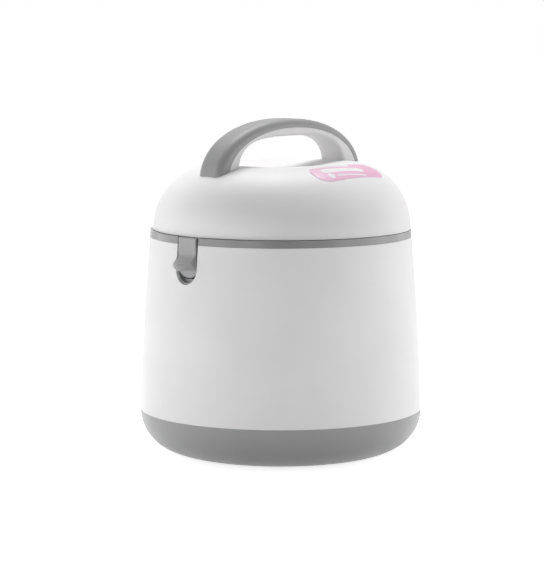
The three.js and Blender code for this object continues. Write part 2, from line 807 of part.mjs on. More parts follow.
// The lid's knuckle: a barrel between the ring's ears, on an arm from the dome's lower edge
function hingeKnuckle() {
  const barrel = level(barrelRadius, hingeOut, hingeHeight, -knuckleHalfWidth, knuckleHalfWidth);
  const armInner = lidRadius - lidWall;
  const arm = acrossX(
    [
      [armInner, lidBottom],
      [hingeOut, lidBottom],
      [hingeOut + barrelRadius * 0.5, hingeHeight + barrelRadius * 0.8],
      [armInner, lidBottom + knuckleArmHeight],
    ],
    2 * knuckleHalfWidth,
  );
  const neckInner = hingeOut - barrelRadius * 0.6;
  const neck = box(-knuckleHalfWidth, knuckleHalfWidth, neckInner, hingeOut, hingeHeight, lidBottom + seam);
  const bore = level(hingePinRadius + running, hingeOut, hingeHeight, -hingeBoreHalf, hingeBoreHalf);
  return cut(join(barrel, neck, cut(arm, dome(-lidWall / 2, lidBottom - overrun))), bore);
}

function lidLiner() {
  const flangeRadius = lidRadius - lidWall - 2 * seam;
  const flange = turned([
    [plugRadius - linerWall, lidBottom],
    [flangeRadius, lidBottom],
    [flangeRadius, lidBottom + linerWall],
    [plugRadius - linerWall, lidBottom + linerWall],
  ]).translate([0, lidSetBack, 0]);
  const cupOutline = [
    [0, plugBottom],
    [plugRadius - linerWall, plugBottom],
    [plugRadius, plugBottom + linerWall],
    [plugRadius, lidBottom + linerWall],
    [plugRadius - linerWall, lidBottom + linerWall],
    [plugRadius - linerWall, plugBottom + linerWall],
    [0, plugBottom + linerWall],
  ];
  const plug = turnedInside(cupOutline);
  const inside = roundPlate(plugRadius - linerWall, plugBottom + linerWall, lidTop);
  const holes = linerPlaces.map(([x, y]) =>
    upright(linerScrew.radius + seam, x, y, plugBottom - overrun, linerPostFoot),
  );
  const bossRadius = catchScrew.radius + seam + catchScrew.head;
  const bossTop = lidBottom + linerWall + catchScrew.length / 2;
  const catchBosses = [-1, 1].map((side) =>
    upright(bossRadius, side * catchScrewX, -catchScrewOut, lidBottom + linerWall / 2, bossTop),
  );
  const room = dome(-lidWall - seam, plugBottom);
  const catchHoles = [-1, 1].map((side) =>
    upright(catchScrew.radius + seam, side * catchScrewX, -catchScrewOut, lidBottom - overrun, lidTop),
  );
  const bosses = join(...catchBosses).intersect(room);
  return cut(join(plug, cut(flange, inside), bosses), ...holes, ...catchHoles);
}

function lidFoam() {
  const low = plugBottom + linerWall + seam;
  const radius = plugRadius - linerWall - seam;
  const slab = roundPlate(radius, low, low + foamThickness);
  const holes = linerPlaces.map(([x, y]) => upright(linerPostRadius + seam, x, y, low - overrun, lidTop));
  return cut(slab, ...holes);
}

function lidGasket() {
  const inner = plugRadius + seam;
  const low = shelfTop + seam;
  const high = lidBottom - seam;
  const lip = (high - low) / 3;
  const outline = [
    [inner, low + lip],
    [inner + lip, low],
    [inner + gasketWidth, low],
    [inner + gasketWidth, low + lip],
    [inner + gasketWidth - lip, high],
    [inner, high],
  ];
  return turnedInside(outline);
}

// The catch hangs from the liner. Its tooth points out, under the lever's hook.
function lidCatch() {
  const top = lidBottom - seam;
  const plateBottom = top - catchTopThickness;
  const toothTop = lidBottom - catchGrip - seam;
  const face = catchFaceOut;
  const plate = acrossX(
    [
      [-catchPlateOut, plateBottom],
      [-face - catchTooth, plateBottom],
      [-face - catchTooth, top],
      [-catchPlateOut, top],
    ],
    2 * catchPlateHalfWidth,
  );
  const tongue = acrossX(
    [
      [-catchOut, plateBottom + catchTopThickness / 2],
      [-face, plateBottom + catchTopThickness / 2],
      [-face, toothTop],
      [-face - catchTooth, toothTop],
      [-face - catchTooth, toothTop - catchToothHeight],
      [-face, toothTop - catchToothHeight - catchRamp],
      [-catchOut, toothTop - catchToothHeight - catchRamp],
    ],
    2 * catchHalfWidth,
  );
  const low = plateBottom - overrun;
  const holes = [-1, 1].map((side) =>
    upright(catchScrew.radius + seam, side * catchScrewX, -catchScrewOut, low, top + overrun),
  );
  return cut(join(plate, tongue), ...holes);
}

// Handle: three arches, outside, split and inside, each a superellipse over the same feet
function archPoints(halfLength, top, power) {
  return bothSides(quarterCurve(halfLength, handleFoot, 0, top, power, archSteps));
}
const coverArch = () => archPoints(handleHalfLength, handleTop, outerCurvePower);
const splitArch = (gap) =>
  archPoints(handleHalfLength - coverFootDepth - gap, handleTop - coverDepth - gap, splitCurvePower);
const gripArch = () =>
  archPoints(handleHalfLength - legThickness, handleTop - gripThickness, innerCurvePower);

// The arch between two curves, with its long edges on one side rounded by stacking narrower slices
function archBetween(outer, inner, width, edge, roundOuter) {
  const slices = 3;
  return Array.from({ length: slices + 1 }, (_, i) => {
    const angle = (quarter * i) / slices;
    const drawnIn = edge * (1 - Math.sin(angle));
    const narrower = 2 * edge * (1 - Math.cos(angle));
    const far = roundOuter ? shrink(outer, drawnIn) : outer;
    const near = roundOuter ? inner : shrink(inner, -drawnIn);
    return acrossX([...far, ...near.slice().reverse()], width - narrower);
  })
    .reduce((made, slice) => made.add(slice))
    .translate([0, handleSetBack, 0]);
}

// An arch's points moved towards the middle of its feet by a distance, square to the curve
function shrink(points, distance) {
  return points.map(([y, z], i) => {
    const [beforeY, beforeZ] = points[Math.max(i - 1, 0)];
    const [afterY, afterZ] = points[Math.min(i + 1, points.length - 1)];
    const length = Math.hypot(afterY - beforeY, afterZ - beforeZ);
    const end = i === 0 || i === points.length - 1;
    const outY = end ? Math.sign(y) : (afterZ - beforeZ) / length;
    const outZ = end ? 0 : -(afterY - beforeY) / length;
    return [y - distance * outY, z - distance * outZ];
  });
}

const handleCover = () =>
  cut(archBetween(coverArch(), splitArch(0), handleWidth, handleEdge, true), dome(seam));

function handleCore() {
  const core = archBetween(splitArch(seam), gripArch(), handleWidth - 2 * coreInset, handleEdge, false);
  const top = handleScrewSeat + handleScrew.length + seam;
  const holes = handleScrewPlaces.map(([x, y]) =>
    upright(handleScrew.radius + seam, x, y, handleFoot - overrun, top),
  );
  return cut(core, dome(seam), ...holes);
}

function lidLabel() {
  const halfLength = (lidRadius * labelLengthShare) / 2;
  const halfWidth = (lidRadius * labelWidthShare) / 2;
  const corner = lidRadius * labelCornerShare;
  const corners = [
    ...arc(halfLength - corner, halfWidth - corner, corner, 0, 90),
    ...arc(corner - halfLength, halfWidth - corner, corner, 90, 180),
    ...arc(corner - halfLength, corner - halfWidth, corner, 180, 270),
    ...arc(halfLength - corner, corner - halfWidth, corner, 270, 360),
  ];
  const low = lidBottom + lidHeight / 2;
  const prism = alongZ(corners, low, low + lidHeight)
    .rotate([0, 0, labelDegrees])
    .translate([lidRadius * labelXShare, lidRadius * labelYShare, 0]);
  return cut(prism.intersect(dome(seam + labelThickness)), dome(seam, lidBottom - overrun));
}

// Latch
function latchLever() {
  const plateIn = leverOut - leverPlate;
  const lipRound = lipThickness / 2;
  const sweepTop = ringTop - leverSweepDrop;
  const reach = lipOut - lipRound - leverOut;
  const sweep = Array.from({ length: sweepSteps + 1 }, (_, i) => {
    const t = (quarter * i) / sweepSteps;
    return [leverOut + reach * (1 - Math.cos(t)), blend(sweepTop, lipHeight + lipRound, Math.sin(t))];
  });
  const tip = arc(lipOut - lipRound, lipHeight, lipRound, 90, -90).slice(1);
  const outline = [
    [leverOut, leverTop],
    ...sweep,
    ...tip,
    [tongueOut, lipHeight - lipRound - seam],
    [tongueBottomOut, tongueBottom],
    [tongueInnerOut, tongueBottom],
    [pivotOut, pivotHeight - pivotBoss],
    [pivotOut, pivotHeight],
    [plateIn, pivotHeight + pivotBoss],
    [plateIn, hookBottom],
    [plateIn - hookDepth, hookBottom],
    [plateIn - hookDepth, hookBottom + hookHeight / 3],
    [plateIn, hookBottom + hookHeight],
    [plateIn, leverTop],
  ].map(([out, z]) => [-out, z]);
  const blade = acrossX(outline, 2 * leverHalfWidth);
  const front = bothSides([
    [leverHalfWidth, leverTop],
    ...quarterCurve(leverHalfWidth, tongueBottom + tongueRound, 0, tongueBottom, ellipse),
  ]);
  const trim = alongY(front, -lipOut - overrun, -recessBack);
  const plan = bothSides([
    [leverHalfWidth, recessBack],
    ...quarterCurve(leverHalfWidth, leverOut, 0, lipOut, ellipse),
  ]).map(([x, out]) => [x, -out]);
  const scoop = alongZ(plan, tongueBottom - overrun, leverTop + overrun);
  const boss = level(pivotBoss, -pivotOut, pivotHeight, -leverHalfWidth, leverHalfWidth);
  const boreHalf = recessHalfWidth + overrun;
  const bore = level(latchPinRadius + running, -pivotOut, pivotHeight, -boreHalf, boreHalf);
  return cut(join(blade.intersect(trim).intersect(scoop), boss), bore);
}

class SpringPath extends THREE.Curve {
  getPoint(share, target = new THREE.Vector3()) {
    const angle = 2 * Math.PI * springTurns * share;
    const coil = springRadius - springWire;
    return target.set(coil * Math.cos(angle), -springLength * share, coil * Math.sin(angle));
  }
}
// The spring fills the room between the pocket's back and the lever's sloping tongue
const slopeShare = (springHeight - springRadius - tongueBottom) / (pivotHeight - pivotBoss - tongueBottom);
const springRoom = blend(tongueInnerOut, pivotOut, slopeShare) - recessBack;
const springLength = springRoom - 2 * seam - 2 * springWire;

// Assembly
const cooker = new THREE.Group();
cooker.name = "thermal_cooker";
const hinge = new THREE.Vector3(0, hingeOut, hingeHeight);
const pivot = new THREE.Vector3(0, -pivotOut, pivotHeight);

// A moving group turns about its pivot, and its pieces are drawn in the cooker's own frame
function movingGroup(at) {
  const moving = new THREE.Group();
  moving.position.copy(at);
  const frame = new THREE.Group();
  frame.position.copy(at).negate();
  moving.add(frame);
  cooker.add(moving);
  return frame;
}
const body = new THREE.Group();
cooker.add(body);
const pot = new THREE.Group();
body.add(pot);
const lid = movingGroup(hinge);
const latch = movingGroup(pivot);

function addPiece(group, name, solid, finish, position = [0, 0, 0]) {
  const [color, roughness, metalness] = finishes[finish];
  const material = new THREE.MeshStandardMaterial({ color, roughness, metalness });
  const mesh = new THREE.Mesh(geometryOf(solid), material);
  mesh.name = name;
  mesh.position.set(...position);
  group.add(mesh);
  return mesh;
}

const at = (places, z) => places.map(([x, y]) => [x, y, z]);
function addCopies(group, name, solid, finish, places) {
  return places.map((place, i) => addPiece(group, `${name}_${i + 1}`, solid, finish, place));
}

addPiece(body, "base_cover", baseCover(), "grey");
addCopies(body, "foot", foot(), "rubber", at(footPlaces, 0));
addCopies(body, "base_screw", screwSolid(baseScrew), "darkSteel", at(screwPlaces, baseScrewSeat - seam));
addPiece(body, "vessel_support", vesselSupport(), "black");
addPiece(body, "vessel_outer", vesselOuter(), "steel");
addPiece(body, "vessel_inner", vesselInner(), "steel");
addPiece(body, "outer_shell", outerShell(), "white");
addPiece(body, "rim_ring", rimRing(), "grey");
addPiece(body, "latch_pocket", latchPocket(), "grey");
const hingePin = level(hingePinRadius, 0, 0, seam - hingeHalfSpan, hingeHalfSpan - seam);
addPiece(body, "hinge_pin", hingePin, "darkSteel", hinge.toArray());
const latchPinHalf = recessHalfWidth + pocketWall + latchPinOverhang - seam;
const latchPin = level(latchPinRadius, 0, 0, -latchPinHalf, latchPinHalf);
addPiece(body, "latch_pin", latchPin, "darkSteel", pivot.toArray());
const spring = wireAlong(new SpringPath(), springWire, springSides, springTurns * springTurnSteps);
addPiece(body, "latch_spring", spring, "steel", [0, -recessBack - seam - springWire, springHeight]);

addPiece(pot, "inner_pot", innerPot(), "steel");
const disc = roundPlate(potRadius - potDiscInset, 0, potDiscThickness);
addPiece(pot, "pot_base_disc", disc, "darkSteel", [0, 0, potDiscBottom]);
addPiece(pot, "pot_ear_right", potEar(1), "steel");
addPiece(pot, "pot_ear_left", potEar(-1), "steel");
addCopies(
  pot,
  "pot_rivet",
  rivet(),
  "steel",
  rivetPlaces.map(([side, y]) => [side * ((potRadius - potWall) * facetShare - seam), y, rivetZ]),
).forEach((mesh, i) => mesh.rotateY(rivetPlaces[i][0] * quarter));
const bail = wireAlong(new BailPath(), bailWire, wireSides, bailSteps);
addPiece(pot, "pot_bail", bail, "steel", [0, 0, pivotZ]);
addPiece(pot, "pot_lid", potLid(), "steel");
addPiece(pot, "pot_lid_knob", potLidKnob(), "black");
addPiece(pot, "pot_lid_screw", screwSolid(knobScrew), "darkSteel", [0, 0, knobScrewSeat]);

addPiece(lid, "lid_cover", lidCover(), "white");
addPiece(lid, "lid_liner", lidLiner(), "darkGrey");
addPiece(lid, "lid_foam", lidFoam(), "foam");
addPiece(lid, "lid_gasket", lidGasket(), "silicone");
addCopies(lid, "lid_screw", screwSolid(linerScrew), "darkSteel", at(linerPlaces, plugBottom - seam));
addPiece(lid, "lid_catch", lidCatch(), "grey");
const catchScrewPlaces = [-1, 1].map((side) => [side * catchScrewX, -catchScrewOut]);
const catchScrewSeat = lidBottom - 2 * seam - catchTopThickness;
addCopies(lid, "catch_screw", screwSolid(catchScrew), "darkSteel", at(catchScrewPlaces, catchScrewSeat));
addPiece(lid, "handle_core", handleCore(), "white");
addPiece(lid, "handle_cover", handleCover(), "grey");
const handleScrews = at(handleScrewPlaces, handleScrewSeat - seam);
addCopies(lid, "handle_screw", screwSolid(handleScrew), "darkSteel", handleScrews);
addPiece(lid, "lid_label", lidLabel(), "pink");
addPiece(latch, "latch_lever", latchLever(), "grey");

export default cooker;
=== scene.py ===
from collections import namedtuple
from math import acos, asin, copysign, cos, degrees, dist, hypot, pi, radians, sin, sqrt, tan

import bmesh
import bpy
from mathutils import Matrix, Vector


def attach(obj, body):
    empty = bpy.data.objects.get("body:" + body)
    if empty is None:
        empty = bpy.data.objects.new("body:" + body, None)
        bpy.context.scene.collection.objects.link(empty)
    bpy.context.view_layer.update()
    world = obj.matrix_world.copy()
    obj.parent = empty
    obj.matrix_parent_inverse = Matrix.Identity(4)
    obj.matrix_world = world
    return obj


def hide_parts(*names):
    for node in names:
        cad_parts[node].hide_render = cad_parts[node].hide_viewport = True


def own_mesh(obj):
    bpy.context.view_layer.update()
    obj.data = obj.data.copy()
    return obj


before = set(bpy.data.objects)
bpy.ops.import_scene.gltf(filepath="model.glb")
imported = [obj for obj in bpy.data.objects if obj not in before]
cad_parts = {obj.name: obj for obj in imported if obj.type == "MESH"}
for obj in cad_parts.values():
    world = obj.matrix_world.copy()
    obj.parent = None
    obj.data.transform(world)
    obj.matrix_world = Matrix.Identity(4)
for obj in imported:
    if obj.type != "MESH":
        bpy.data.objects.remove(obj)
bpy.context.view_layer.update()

# Sizes in metres, written in millimetres. The cooker's axis is at x = y = 0, its latch towards -y, its hinge
# towards +y, and it stands on z = 0.
mm = 0.001
seam = 0.3 * mm
running = 0.25 * mm
overrun = 5 * mm
edge = 0.5 * mm  # rounding of a moulded edge
fine_edge = 0.2 * mm
hair = 0.06 * mm  # gap between two faces that look closed
sheet_edge = 0.25 * mm
sheet_round_share = 0.7  # of its thickness
wide_steps = 192
inner_steps = 128
small_steps = 32
curve_steps = 36
weld_distance = mm / 1000
tiny = seam / 100
quarter = pi / 2
sharp_degrees = 32  # an edge that turns more than this is left sharp in the shading
softened_degrees = 35

# Body
foot_radius = 9 * mm
foot_thickness = 1.2 * mm
foot_dimple = 2.5 * mm
foot_dimple_depth = 0.3 * mm
base_flat_radius = 89.5 * mm
foot_circle = base_flat_radius - 15.5 * mm
base_wall = 2.6 * mm
base_power = 2.1
base_lip_height = 8 * mm
base_lip_wall = 2.2 * mm
seam_radius = 136 * mm
seam_height = 43.1 * mm
base_underside = foot_thickness + seam
shell_height = 166.5 * mm
shell_top_radius = 126.2 * mm
shell_belly = 1.3 * mm
shell_wall = 2.5 * mm
shell_top = seam_height + shell_height
ring_height = 6.9 * mm
ring_top_radius = 125.6 * mm
ring_wall = 2.4 * mm
ring_shelf_drop = 3.2 * mm
ring_shelf_gap = 1.5 * mm
ring_rib_depth = 6 * mm
ring_rib_wall = 2.2 * mm
ring_bottom = shell_top + seam
ring_top = ring_bottom + ring_height
shelf_top = ring_top - ring_shelf_drop
shelf_bottom = shelf_top - ring_wall

# Vessel and base screws
vessel_wall = 1 * mm
mouth_radius = 106.5 * mm
mouth_flange = 5 * mm
vessel_corner = 18 * mm
vessel_floor = 21 * mm
cup_steps = 16
flange_top = shelf_bottom - seam
recess_back = 112.5 * mm
screw_circle = base_flat_radius - 27.5 * mm
Screw = namedtuple("Screw", "radius head head_height length")
base_screw = Screw(1.8 * mm, 3.6 * mm, 2.2 * mm, 8.2 * mm)
liner_screw = Screw(1.5 * mm, 3 * mm, 1.7 * mm, 12 * mm)
handle_screw = Screw(1.8 * mm, 3.5 * mm, 2.2 * mm, 13 * mm)
catch_screw = Screw(1.1 * mm, 1.8 * mm, 1.4 * mm, 8 * mm)
knob_screw = Screw(2 * mm, 4 * mm, 1.6 * mm, 7 * mm)
screw_rim_share = 0.45  # the rim's and the cross's height, as a share of the head's
screw_arm_share = 0.62
screw_slot_share = 0.13
screw_sink = 1.2 * mm
screw_boss_wall = 2.7 * mm
screw_boss_height = 6.5 * mm
base_screw_seat = base_underside + screw_sink + base_screw.head_height

# Pot
pot_radius = mouth_radius - 8 * mm
pot_wall = 0.9 * mm
pot_bottom = 26.6 * mm
pot_top = 177.6 * mm
pot_corner = 12 * mm
pot_disc_radius = 78 * mm
pot_disc_thickness = 4 * mm
pot_disc_bottom = pot_bottom - pot_disc_thickness - seam
pot_bead_width = 2.8 * mm
pot_bead_height = 2.5 * mm
ear_drop = 13 * mm
ear_thickness = 1.2 * mm
ear_width = 22 * mm
ear_height = 14 * mm
ear_tab_width = 1.8 * mm
ear_tab_rim = 1 * mm
rivet_radius = 1.5 * mm
rivet_head = 2.2 * mm
rivet_head_height = 0.7 * mm
rivet_spacing = 13 * mm
rivet_rise = 4.4 * mm
bail_wire = 1.5 * mm
bail_clearance = 0.4 * mm
bail_stand_off = 1.7 * mm
bail_tail = 4 * mm
bail_steps = 96
pot_lid_overhang = 3 * mm
pot_lid_rise = 8 * mm
crown_steps = 24
pot_lid_collar = 6 * mm
knob_height = 9 * mm
knob_radius = 17 * mm
knob_stem = 8 * mm
knob_rounding = 2 * mm
knob_rounded_degrees = 8
knob_round_steps = 6
pot_lid_bottom = pot_top + seam
knob_seat = pot_lid_bottom + pot_wall + pot_lid_rise + seam
knob_screw_seat = pot_lid_bottom + pot_lid_rise - seam
bail_z = pot_top - ear_drop
bail_radius = pot_radius + bail_stand_off + bail_wire
rivet_z = bail_z + rivet_rise

# Lid
lid_radius = 124.25 * mm
lid_height = 62.5 * mm
lid_wall = 2.6 * mm
lid_power = 2.1
lid_crest_radius = 62 * mm
lid_dish_depth = 6 * mm
lid_set_back = 1.64 * mm
lid_lean = 1.6 * mm
lid_stretch_share = 0.09
dome_tries = 12
lid_bottom = ring_top + seam
lid_top = lid_bottom + lid_height
plug_radius = mouth_radius - 2.5 * mm
plug_bottom = lid_bottom - 17 * mm
liner_wall = 2 * mm
liner_post_circle = plug_radius - 24 * mm
gasket_width = 6.5 * mm

# Handle
handle_width = 31 * mm
handle_top = lid_top + 42.8 * mm
handle_foot = lid_top - 12.6 * mm
handle_half_length = 99.5 * mm
handle_set_back = 0.6 * mm
cover_depth = 8.3 * mm
front_foot_depth = 12.5 * mm
back_foot_depth = 8.5 * mm
grip_thickness = 16.3 * mm
leg_thickness = 28.5 * mm
outer_power = 2.13
split_power = 2.15
inner_power = 3.15
cover_rounding = 8 * mm
core_rounding = 5.5 * mm
core_inset = 0.4 * mm
handle_round_share = 0.8  # of a slice's depth, the most that a rounding takes up
arch_steps = 96
dome_gap = 0.05 * mm
handle_screw_seat = lid_top - 9.6 * mm
handle_screw_reach = handle_half_length - leg_thickness + 4.6 * mm
handle_screw_spread = 16 * mm
handle_screw_places = [
    (side * handle_screw_spread / 2, handle_set_back + end * handle_screw_reach)
    for side in (-1, 1)
    for end in (-1, 1)
]

# Latch: "out" is the distance from the axis towards -y
recess_half = 12 * mm
recess_bottom = ring_top - 42.6 * mm
pocket_wall = 1 * mm
pocket_back_wall = 1.5 * mm
pocket_front = 2 * mm
pocket_step_out = 122 * mm
pocket_step_height = 3.4 * mm
window_rounding = 0.6 * mm
recess_steps = 24
lever_half = recess_half - 0.6 * mm
lever_out = shell_top_radius + seam
lever_plate = 3 * mm
lever_top = lid_bottom - 0.6 * mm
sweep_top = ring_top - 14.8 * mm
lip_reach = 15.4 * mm
lip_out = lever_out + lip_reach
lip_height = ring_top - 26.8 * mm
lip_thickness = 7.5 * mm
lip_rim = 1.8 * mm
lip_undercut = 5 * mm
lip_nose_power = 3.5
lever_edge = 0.8 * mm
tongue_out = lever_out - 0.4 * mm
tongue_bottom_out = tongue_out - 1.5 * mm
tongue_inner_out = tongue_bottom_out - 4.6 * mm
tongue_bottom = ring_top - 38.2 * mm
tongue_round = 7 * mm
tongue_least_share = 0.06
lip_bottom = lip_height - lip_thickness / 2
tongue_top = lip_bottom - seam
lip_steps = 12
rim_steps = 9
lip_points = 2 * lip_steps + rim_steps + 1
tongue_steps = 6
lever_steps = 16
crowding_power = 1.5  # crowds points together towards an end
pivot_out = lever_out - 6 * mm
pivot_height = ring_top - 24.8 * mm
pivot_boss = 3.4 * mm
boss_steps = 12
pocket_boss = 2.8 * mm
latch_pin_radius = 1.5 * mm
latch_pin_overhang = 2.2 * mm
hook_bottom = lid_bottom - 7.5 * mm
hook_depth = 3.5 * mm
hook_height = 5 * mm
catch_screw_x = 9.2 * mm
catch_screw_out = 115.7 * mm
catch_screw_places = [(side * catch_screw_x, -catch_screw_out) for side in (-1, 1)]
catch_plate = 2 * mm
catch_plate_half = 11.4 * mm
catch_plate_depth = 2.7 * mm
catch_half = 7 * mm
catch_tongue = 3.2 * mm
catch_tooth = 2.8 * mm
catch_tooth_height = 1.1 * mm
catch_ramp = 3.9 * mm
hook_gap = 0.5 * mm
spring_radius = 2.2 * mm
spring_wire = 0.3 * mm
spring_turns = 4
spring_steps = 24  # in a turn
spring_sides = 10
spring_height = ring_top - 33.3 * mm
slope_share = (spring_height - spring_radius - tongue_bottom) / (pivot_height - pivot_boss - tongue_bottom)
spring_room = tongue_inner_out + (pivot_out - tongue_inner_out) * slope_share - recess_back
spring_length = spring_room - 2 * seam - 2 * spring_wire

# Hinge
hinge_out = 133 * mm
hinge_height = ring_top - 3.8 * mm
barrel_radius = 5 * mm
barrel_steps = 40
hinge_pin_radius = 1.5 * mm
knuckle_half = 19.7 * mm
ear_barrel = 10 * mm
hinge_half = knuckle_half + seam + ear_barrel
knuckle_arm_height = 8 * mm
# The arm's top corner in the knuckle and the neck's inner side, as shares of the barrel's radius
arm_out_share = 0.5
arm_up_share = 0.8
neck_share = 0.6

# Label on the lid's top, as shares of the lid's radius
label_x_share = 0.604
label_y_share = 0.093
label_length_share = 0.764
label_width_share = 0.215
label_corner_share = 0.1
label_bow_share = 0.12
label_fall_share = 2.7
label_degrees = 94
print_degrees = 87
label_thickness = 0.3 * mm
label_rings = 10
label_corner_steps = 12
label_gap = 0.05 * mm
label_blur = 0.25 * mm
label_cloud = 30.0
label_grain = 1500.0
label_depth = 0.03
label_gloss = (0.26, 0.34)
label_pink = (0.82, 0.53, 0.69, 1)
label_deep_pink = (0.78, 0.38, 0.58, 1)
label_white = (0.88, 0.86, 0.88, 1)
label_bars = [
    ((-15 * mm, 13 * mm), (28 * mm, 5.5 * mm)),
    ((-7 * mm, -0.8 * mm), (27.5 * mm, 4 * mm)),
    ((-29.5 * mm, -10 * mm), (3.6 * mm, 3.6 * mm)),
    ((-3 * mm, -10.5 * mm), (19 * mm, 1 * mm)),
]


# Mesh helpers
corner_steps = 5
corner_share = 1.4  # corners are rounder than the edges of the ends, so that these can follow them
corner_reach_share = 0.45  # of a side, the most that a rounded corner takes up
least_mitre = 0.5  # keeps a sharp corner near its place when its line is inset
rounded_degrees = 24  # an outline that turns less than this isn't rounded


def blend(start, end, share):
    return start + (end - start) * share


def quarter_steps(count):
    """Angles from zero to a quarter turn."""
    return [quarter * i / count for i in range(count + 1)]


def even_shares(count):
    """Shares from zero to one."""
    return [i / count for i in range(count + 1)]


coarse_turns = quarter_steps(4)
fine_turns = quarter_steps(12)


def new_piece(points, faces):
    """A closed mesh with its faces pointing out."""
    made = bmesh.new()
    corners = [made.verts.new(point) for point in points]
    for face in faces:
        made.faces.new([corners[i] for i in face])
    bmesh.ops.remove_doubles(made, verts=made.verts, dist=weld_distance)
    bmesh.ops.delete(made, geom=[e for e in made.edges if not e.link_faces], context="EDGES")
    bmesh.ops.recalc_face_normals(made, faces=made.faces)
    mesh = bpy.data.meshes.new("piece")
    made.to_mesh(mesh)
    made.free()
    piece = bpy.data.objects.new("piece", mesh)
    bpy.context.scene.collection.objects.link(piece)
    return piece


def loft(loops, around=False, capped=True):
    """Closed loops of points, joined one to the next. The ends are capped, or joined when it goes around."""
    count = len(loops[0])
    spans = len(loops) if around else len(loops) - 1
    faces = []
    for i in range(spans):
        here = i * count
        there = (i + 1) % len(loops) * count
        for j in range(count):
            on = (j + 1) % count
            faces.append((here + j, here + on, there + on, there + j))
    if capped and not around:
        faces += [tuple(range(count)), tuple(range(spans * count, (spans + 1) * count))]
    return new_piece([point for loop in loops for point in loop], faces)


def lathe(outline, steps=wide_steps, at=(0, 0, 0), axis=(0, 0, 1)):
    """An outline of (radius, height) turned about an axis through a point."""
    frame_turn = Vector(axis).to_track_quat("Z", "Y")
    loops = []
    for i in range(steps):
        turn = 2 * pi * i / steps
        spots = [Vector((r * cos(turn), r * sin(turn), h)) for r, h in outline]
        loops.append([Vector(at) + frame_turn @ spot for spot in spots])
    return loft(loops, around=True)


def stairs(*turns):
    """The corners of a line of level and upright runs. Its places along and its heights come in turn."""
    return [(turns[i + i % 2], turns[i + 1 - i % 2]) for i in range(len(turns) - 1)]


def rectangle(low, high):
    """The four corners between two opposite ones."""
    return stairs(*low, *high, low[0])


def rod(radius, start, end, steps=small_steps, rounding=0.0):
    """A round rod from one point to another, with its ends' edges rounded."""
    along = Vector(end) - Vector(start)
    outline = rectangle((0, 0), (radius, along.length))
    if rounding:
        outline = rounded(outline, rounding)
    return lathe(outline, steps, start, along)


def post(radius, x, y, low, high, steps=small_steps):
    """An upright rod, to join or to cut with."""
    return rod(radius, (x, y, low), (x, y, high), steps)


def drill(piece, radius, places, low, high):
    """Cuts upright holes at some places (x, y)."""
    for x, y in places:
        cut(piece, post(radius, x, y, low, high))


def slab(outline, low, high, put, rounding=edge):
    """A closed outline (u, v) made solid from low to high, with all its edges rounded."""
    outline = rounded(outline, rounding * corner_share, corner_steps)
    stations = [(low + rounding * (1 - cos(t)), rounding * (1 - sin(t))) for t in coarse_turns]
    stations += [(low + high - w, inset) for w, inset in stations[::-1]]
    return loft([[put(u, v, w) for u, v in inset_line(outline, inset)] for w, inset in stations])


def across(outline, low, high, rounding=edge):
    """A (y, z) outline made solid along x."""
    return slab(outline, low, high, lambda y, z, x: (x, y, z), rounding)


def block(low, high):
    """A plain box between two corners, to cut with."""
    corners = rectangle(low[:2], high[:2])
    return loft([[(x, y, z) for x, y in corners] for z in (low[2], high[2])])


def inset_line(outline, distance):
    """A closed line moved inwards by a distance."""
    if distance == 0:
        return outline
    count = len(outline)
    area = sum(outline[i - 1][0] * outline[i][1] - outline[i][0] * outline[i - 1][1] for i in range(count))
    inwards = copysign(distance, area)
    made = []
    for i, (u, v) in enumerate(outline):
        before = (Vector((u, v)) - Vector(outline[i - 1])).normalized()
        after = (Vector(outline[(i + 1) % count]) - Vector((u, v))).normalized()
        along = (before + after).normalized()
        reach = inwards / max(along.dot(after), least_mitre)
        made.append((u - along.y * reach, v + along.x * reach))
    return made


def wire(path, radius, sides=16):
    """A round wire along a path of points, with rounded ends."""
    path = [Vector(spot) for spot in path]
    turns = [2 * pi * k / sides for k in range(sides)]
    side = (path[1] - path[0]).orthogonal().normalized()
    loops = []
    for i, spot in enumerate(path):
        along = (path[min(i + 1, len(path) - 1)] - path[max(i - 1, 0)]).normalized()
        side = (side - along * side.dot(along)).normalized()
        other = along.cross(side)
        ends = [(0, radius)]
        if i == 0:
            ends = [(-radius * cos(t), radius * sin(t)) for t in coarse_turns[1:]]
        elif i == len(path) - 1:
            ends = [(radius * cos(t), radius * sin(t)) for t in coarse_turns[:0:-1]]
        for past, r in ends:
            loops.append([spot + along * past + (side * cos(t) + other * sin(t)) * r for t in turns])
    return loft(loops)


def superellipse(outer, low, inner, high, power):
    """Points of a quarter curve from (outer, low) to (inner, high)."""
    points = []
    for turn in quarter_steps(curve_steps):
        along = max(cos(turn), 0) ** (2 / power)
        up = sin(turn) ** (2 / power)
        points.append((inner + (outer - inner) * along, low + (high - low) * up))
    return points


def arc(u, v, radius, start, end, steps=8):
    """Points round a centre from one angle to another, in degrees."""
    turns = [radians(start + (end - start) * i / steps) for i in range(steps + 1)]
    return [(u + radius * cos(t), v + radius * sin(t)) for t in turns]


